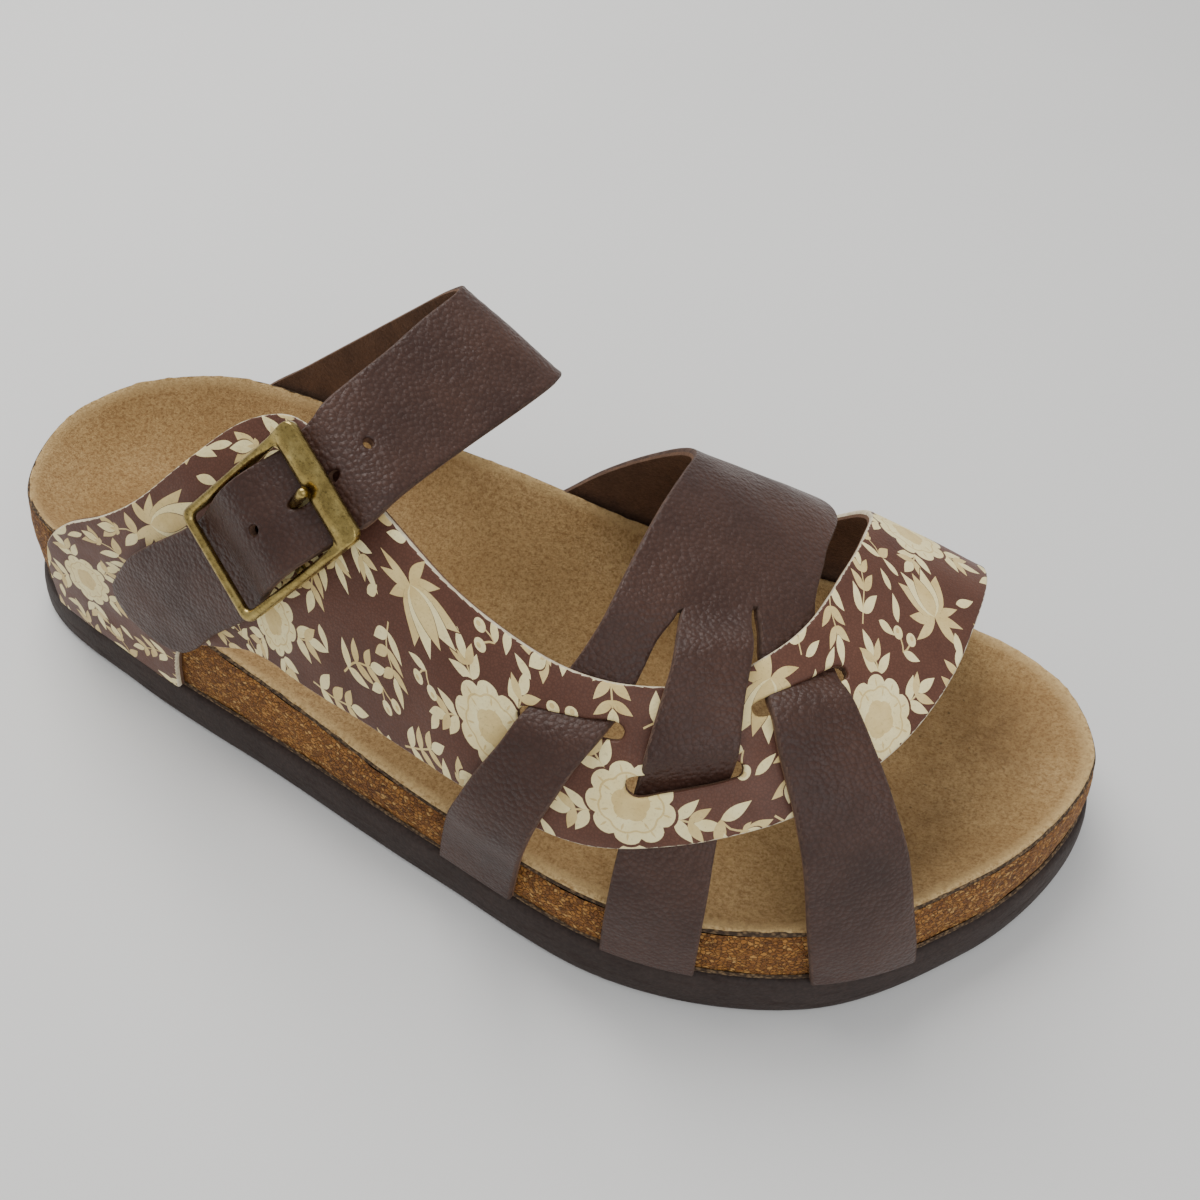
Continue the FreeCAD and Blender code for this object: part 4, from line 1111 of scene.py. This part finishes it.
def edge_look(name, dark, light):
    """Cut edge: fibrous, with fine layers."""
    look = Look(name, 0.85)
    look.colour(look.ramp(look.noise(1.2, 4), (0.3, dark), (0.7, light)))
    look.relief(look.noise(0.35, 3), 0.12)
    return look.material


def fleece_look(name):
    look = Look(name, 0.95, Sheen_Weight=0.5, Sheen_Roughness=0.5, Sheen_Tint=(*rgb(170, 130, 100), 1))
    tufts = look.noise(0.8, 5, 0.7)
    cloud = look.math("MULTIPLY", look.noise(6, 3), 0.4)
    uneven = look.math("ADD", look.math("MULTIPLY", tufts, 0.6), cloud)
    look.colour(look.ramp(uneven, (0.3, rgb(62, 42, 32)), (0.65, rgb(112, 82, 62))))
    look.relief(tufts, 0.5)
    return look.material


def suede_look(name):
    """Napped suede, paler and fuzzy at its rim, darker where the foot has worn it."""
    look = Look(name, 0.93, Sheen_Weight=0.35, Sheen_Roughness=0.45, Sheen_Tint=(*rgb(215, 185, 140), 1))
    nap = look.noise(0.45, 4, 0.65)
    look.colour(look.ramp(look.noise(22, 4, 0.5), (0.25, rgb(176, 142, 92)), (0.5, rgb(191, 157, 105)),
                          (0.75, rgb(205, 172, 120))))
    look.lay(look.ramp(look.noise(1.3, 5, 0.75), (0.42, 0.0), (0.68, 0.6)), rgb(146, 106, 60))
    look.lay(look.ramp(nap, (0.5, 0.0), (0.72, 0.5)), rgb(112, 78, 42))
    look.lay(look.ramp(look.noise(0.7, 4, 0.7), (0.48, 0.0), (0.62, 0.6)), rgb(128, 92, 52))
    share = look.attribute("share")
    look.lay(look.ramp(share, (0.93, 0.0), (0.985, 0.85)), rgb(222, 190, 134))
    fuzz = look.ramp(look.noise(0.9, 4, 0.75), (0.45, 0.0), (0.62, 0.8))
    look.lay(look.math("MULTIPLY", fuzz, look.ramp(share, (0.95, 0.0), (0.99, 1.0))), rgb(150, 112, 64))
    stain = look.attribute("stain")
    patches = look.ramp(look.noise(7, 4, 0.7), (0.36, 0.25), (0.66, 1.0))
    look.lay(look.math("MULTIPLY", stain, patches), rgb(104, 72, 42))
    specks = look.ramp(look.cells(2.6, warp=0.8), (0.06, 1.0), (0.15, 0.0))
    look.lay(look.math("MULTIPLY", specks, look.math("ADD", stain, 0.12)), rgb(62, 42, 26))
    look.relief(nap, 0.28)
    look.relief(look.noise(2.4, 4), 0.25)
    return look.material


def cork_look(name):
    """Pressed granules of several browns with dark seams, some dark bark and a slow change of tone."""
    look = Look(name, 0.7, Specular_IOR_Level=0.34)
    flat, size = (1, 1, 1.25), 0.95
    granules = look.node("SeparateColor", Color=look.cells(size, "F1", flat, 0.9, "Color"))
    look.colour(look.ramp(granules.outputs["Red"], (0.0, rgb(84, 46, 14)), (0.22, rgb(126, 76, 26)),
                          (0.55, rgb(156, 102, 40)), (0.82, rgb(186, 130, 60)), (1.0, rgb(220, 174, 104))))
    seams = look.ramp(look.cells(size, "DISTANCE_TO_EDGE", flat, 0.9), (0.0, 1.0), (0.14, 0.0))
    look.lay(look.math("MULTIPLY", seams, 0.6), rgb(92, 50, 18))
    bark = look.ramp(look.cells(3.4, warp=1.4), (0.12, 1.0), (0.2, 0.0))
    look.lay(look.math("MULTIPLY", bark, 0.75), rgb(66, 38, 18))
    look.lay(0.35, look.ramp(look.noise(24, 3), (0.3, rgb(98, 58, 22)), (0.7, rgb(166, 112, 52))))
    look.relief(look.math("SUBTRACT", 1.0, seams), 0.34)
    look.relief(look.noise(0.5, 3), 0.16)
    look.relief(look.noise(2.6, 3), 0.3)
    return look.material


def jute_look(name, dark, light):
    look = Look(name, 0.9)
    weave = look.cells(0.9, stretch=(1, 1, 2.2))
    look.colour(look.ramp(weave, (0.1, light), (0.6, dark)))
    look.relief(look.math("SUBTRACT", 1.0, weave), 0.3)
    return look.material


def foam_look(name):
    look = Look(name, 0.72, Specular_IOR_Level=0.34)
    look.colour(look.ramp(look.noise(10, 4), (0.3, rgb(42, 31, 27)), (0.7, rgb(60, 47, 42))))
    look.lay(0.5, look.ramp(look.noise(0.8, 3), (0.35, rgb(40, 29, 26)), (0.7, rgb(66, 52, 47))))
    look.relief(look.cells(0.6), 0.05)
    look.relief(look.noise(1.8, 4), 0.14)
    look.roughness(look.ramp(look.noise(2.5, 4, 0.7, (0.25, 0.25, 1.5)), (0.5, 0.62), (0.7, 0.85)))
    return look.material


def brass_look(name):
    """Aged brass: clouded, with dark specks and fine scratches."""
    look = Look(name, 0.34, 1.0)
    cloud = look.noise(3.2, 5, 0.65)
    look.colour(look.ramp(cloud, (0.3, rgb(136, 116, 66)), (0.5, rgb(168, 147, 88)),
                          (0.72, rgb(198, 178, 116))))
    look.lay(look.ramp(look.noise(0.6, 4, 0.7), (0.53, 0.0), (0.66, 0.62)), rgb(84, 70, 38))
    scratches = look.noise(0.7, 3, 0.6, (0.15, 1.6, 1.6))
    worn = look.math("ADD", look.math("MULTIPLY", cloud, 0.5), look.math("MULTIPLY", scratches, 0.5))
    look.roughness(look.ramp(worn, (0.35, 0.2), (0.65, 0.36)))
    look.relief(look.noise(1.6, 3), 0.05)
    look.relief(scratches, 0.012)
    return look.material


# ---- the object ----
def built_slots(panel):
    """Slots in the panel as loops, rounded at their corners."""
    slots = [
        [(21.2, 40.9), (27, 43.2), (32, 45.2), (36.2, 47.2), (38.2, 46.8), (38.3, 44.9), (36.9, 44.0),
         (33, 42.6), (27, 40.2), (21.8, 38.0), (20.4, 38.9)],
        [(42.2, 40.0), (47, 43.0), (51, 45.8), (56.2, 50.0), (58.2, 50.1), (58.6, 48.2), (57.2, 46.8),
         (51.6, 42.4), (47.4, 39.4), (43.8, 36.8), (41.8, 37.1), (41.2, 38.8)],
        [(57.0, 62.2), (60, 65.8), (63.2, 69.6), (66.6, 74.2), (68.3, 75.2), (69.6, 73.9), (68.8, 72.0),
         (65, 67.6), (61.8, 63.6), (59.4, 60.4), (57.4, 59.4), (56.2, 60.6)]]
    return [closed_curve([panel.place(x, t) for x, t in slot], 56) for slot in slots]


def stains(piece, spots):
    """Darker worn places on the footbed: (x, y, along, across, strength)."""
    mesh = piece.data
    co = np.zeros(len(mesh.vertices) * 3)
    mesh.vertices.foreach_get("co", co)
    co = co.reshape(-1, 3) / MM
    total = np.zeros(len(co))
    for x, y, long, wide, strength in spots:
        total += strength * np.exp(-((co[:, 0] - x) / long) ** 2 - ((co[:, 1] - y) / wide) ** 2)
    add_attribute(piece, "stain", np.clip(total, 0, 1))


def take(piece, body, slot, *nodes):
    """Hands a finished piece to its body and hides the CAD nodes it stands for."""
    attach(piece, body)
    if nodes:
        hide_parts(*nodes)


STRAP_LEATHER = leather_look("strap_leather", rgb(60, 38, 31), rgb(80, 54, 44), 0.95, 0.22, 0.37)
PANEL_GROUND = leather_look("panel_ground", rgb(88, 54, 42), rgb(106, 68, 53), 0.6, 0.05, 0.46)
PRINT_LIGHT = print_look("print_cream", rgb(244, 224, 160), rgb(255, 242, 186))
PRINT_SHADE = print_look("print_shade", rgb(216, 188, 124), rgb(234, 210, 148))
CREAM_EDGE = edge_look("cream_cut_edge", rgb(196, 182, 150), rgb(232, 222, 196))
DARK_EDGE = edge_look("dark_cut_edge", rgb(60, 42, 35), rgb(98, 74, 62))
FLEECE = fleece_look("fleece_lining")
SUEDE = suede_look("suede")
CORK = cork_look("cork")
JUTE = jute_look("upper_jute", rgb(66, 50, 36), rgb(136, 110, 78))
FOAM = foam_look("outsole_foam")
BRASS = brass_look("antique_brass")

panel = make_panel()
slots = built_slots(panel)
panel_loop = np.concatenate([panel.edge(0, panel.length, -1), panel.edge(panel.length, 0, 1)])
design = pattern(panel.length, 27.0)
take(strap_piece("printed_panel_piece", panel.point, panel_loop, slots,
                 [PANEL_GROUND, CREAM_EDGE, FLEECE, PRINT_LIGHT, PRINT_SHADE],
                 design.loops, design.tones),
     "sandal", "panel_leather", "printed_panel", "panel_lining")

fingers, split = make_fingers()
take(strap_piece("finger_strap_piece", finger_point(fingers, split), finger_outline(fingers, split), [],
                 [STRAP_LEATHER, DARK_EDGE, FLEECE], spacing=1.8),
     "sandal", "strap_leather", "finger_strap_root", "finger_strap_root_lining",
     "finger_strap_rear_finger", "finger_strap_rear_finger_lining", "finger_strap_middle_finger",
     "finger_strap_middle_finger_lining", "finger_strap_front_finger", "finger_strap_front_finger_lining")

instep = make_instep()
take(strap_piece("instep_strap_piece", instep.point, instep_outline(instep), instep_holes(instep),
                 [STRAP_LEATHER, DARK_EDGE, FLEECE], spacing=1.8),
     "sandal", "strap_leather", "instep_strap", "instep_strap_lining")

bed = footbed([SUEDE])
stains(bed, [(101, 22, 15, 13, 0.6), (88, -10, 16, 15, 0.5), (70, 10, 22, 20, 0.3),
             (-94, 3, 22, 20, 0.25)])
take(bed, "sandal", "suede", "suede_liner")
take(cork_wall([CORK]), "sandal", "cork", "cork_footbed")
take(upper_jute([JUTE]), "sandal", "jute", "upper_jute_layer")
take(lower_jute([JUTE]), "sandal", "jute", "lower_jute_layer")
take(outsole([FOAM]), "sandal", "outsole_foam", "outsole")
take(buckle_frame_piece([BRASS]), "buckle", "buckle_brass", "buckle_frame")
take(prong_piece([BRASS]), "prong", "buckle_brass", "buckle_prong")
for node, look in (("buckle_pivot_bar", BRASS), ("loop_rivet_front", BRASS), ("loop_rivet_rear", BRASS),
                   ("buckle_loop", STRAP_LEATHER)):
    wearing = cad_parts[node].data.materials
    wearing.clear()
    wearing.append(look)


# ---- floor, light and camera ----
def floor():
    look = Look("floor", 0.6)
    look.colour(look.ramp(look.noise(300, 2), (0.3, (0.80, 0.80, 0.79)), (0.7, (0.84, 0.84, 0.83))))
    points = [(-3000, -3000, 0), (3000, -3000, 0), (3000, 3000, 0), (-3000, 3000, 0)]
    make_object("floor", points, [(0, 1, 2, 3)], [look.material])


def area_light(name, place, size, energy, colour):
    """A square soft light that faces the middle of the object."""
    light = bpy.data.lights.new(name, "AREA")
    light.shape = "SQUARE"
    light.size, light.energy, light.color = size, energy, colour
    lamp = bpy.data.objects.new(name, light)
    lamp.location = place
    lamp.rotation_euler = (Vector((0, 0, 0.03)) - Vector(place)).to_track_quat("-Z", "Y").to_euler()
    bpy.context.scene.collection.objects.link(lamp)


def studio():
    world = bpy.data.worlds.new("studio")
    world.use_nodes = True
    world.node_tree.nodes["Background"].inputs["Color"].default_value = (1, 1, 1, 1)
    world.node_tree.nodes["Background"].inputs["Strength"].default_value = 0.55
    bpy.context.scene.world = world
    area_light("key_light", (-0.45, 0.35, 0.9), 0.7, 9.0, (1.0, 0.98, 0.95))
    area_light("fill_light", (0.7, -0.6, 0.7), 0.9, 4.0, (0.96, 0.98, 1.0))


# the camera: azimuth, elevation and roll in degrees, the place it faces, how far off it is, its lens
VIEW_ANGLES = (19.67, 47.69, 3.77)
VIEW_TARGET = np.array([11.14, 25.40, 15.45])
VIEW_FAR, VIEW_LENS, VIEW_SENSOR = 279.57, 36.008, 36.0


def camera():
    """The photograph's viewpoint."""
    azimuth, elevation, roll = (math.radians(a) for a in VIEW_ANGLES)
    back = np.array([math.sin(azimuth) * math.cos(elevation), -math.cos(azimuth) * math.cos(elevation),
                     math.sin(elevation)])
    right = unit(np.cross((0, 0, 1), back))
    up = np.cross(back, right)
    turned = math.cos(roll) * right + math.sin(roll) * up
    data = bpy.data.cameras.new("camera")
    data.sensor_width, data.lens, data.clip_start = VIEW_SENSOR, VIEW_LENS, 0.01
    eye = bpy.data.objects.new("camera", data)
    axes = np.stack([turned, np.cross(back, turned), back], 1)
    place = (VIEW_TARGET + VIEW_FAR * back) * MM
    eye.matrix_world = Matrix.Translation(place) @ Matrix(axes.tolist()).to_4x4()
    bpy.context.scene.collection.objects.link(eye)
    bpy.context.scene.camera = eye


floor()
studio()
camera()
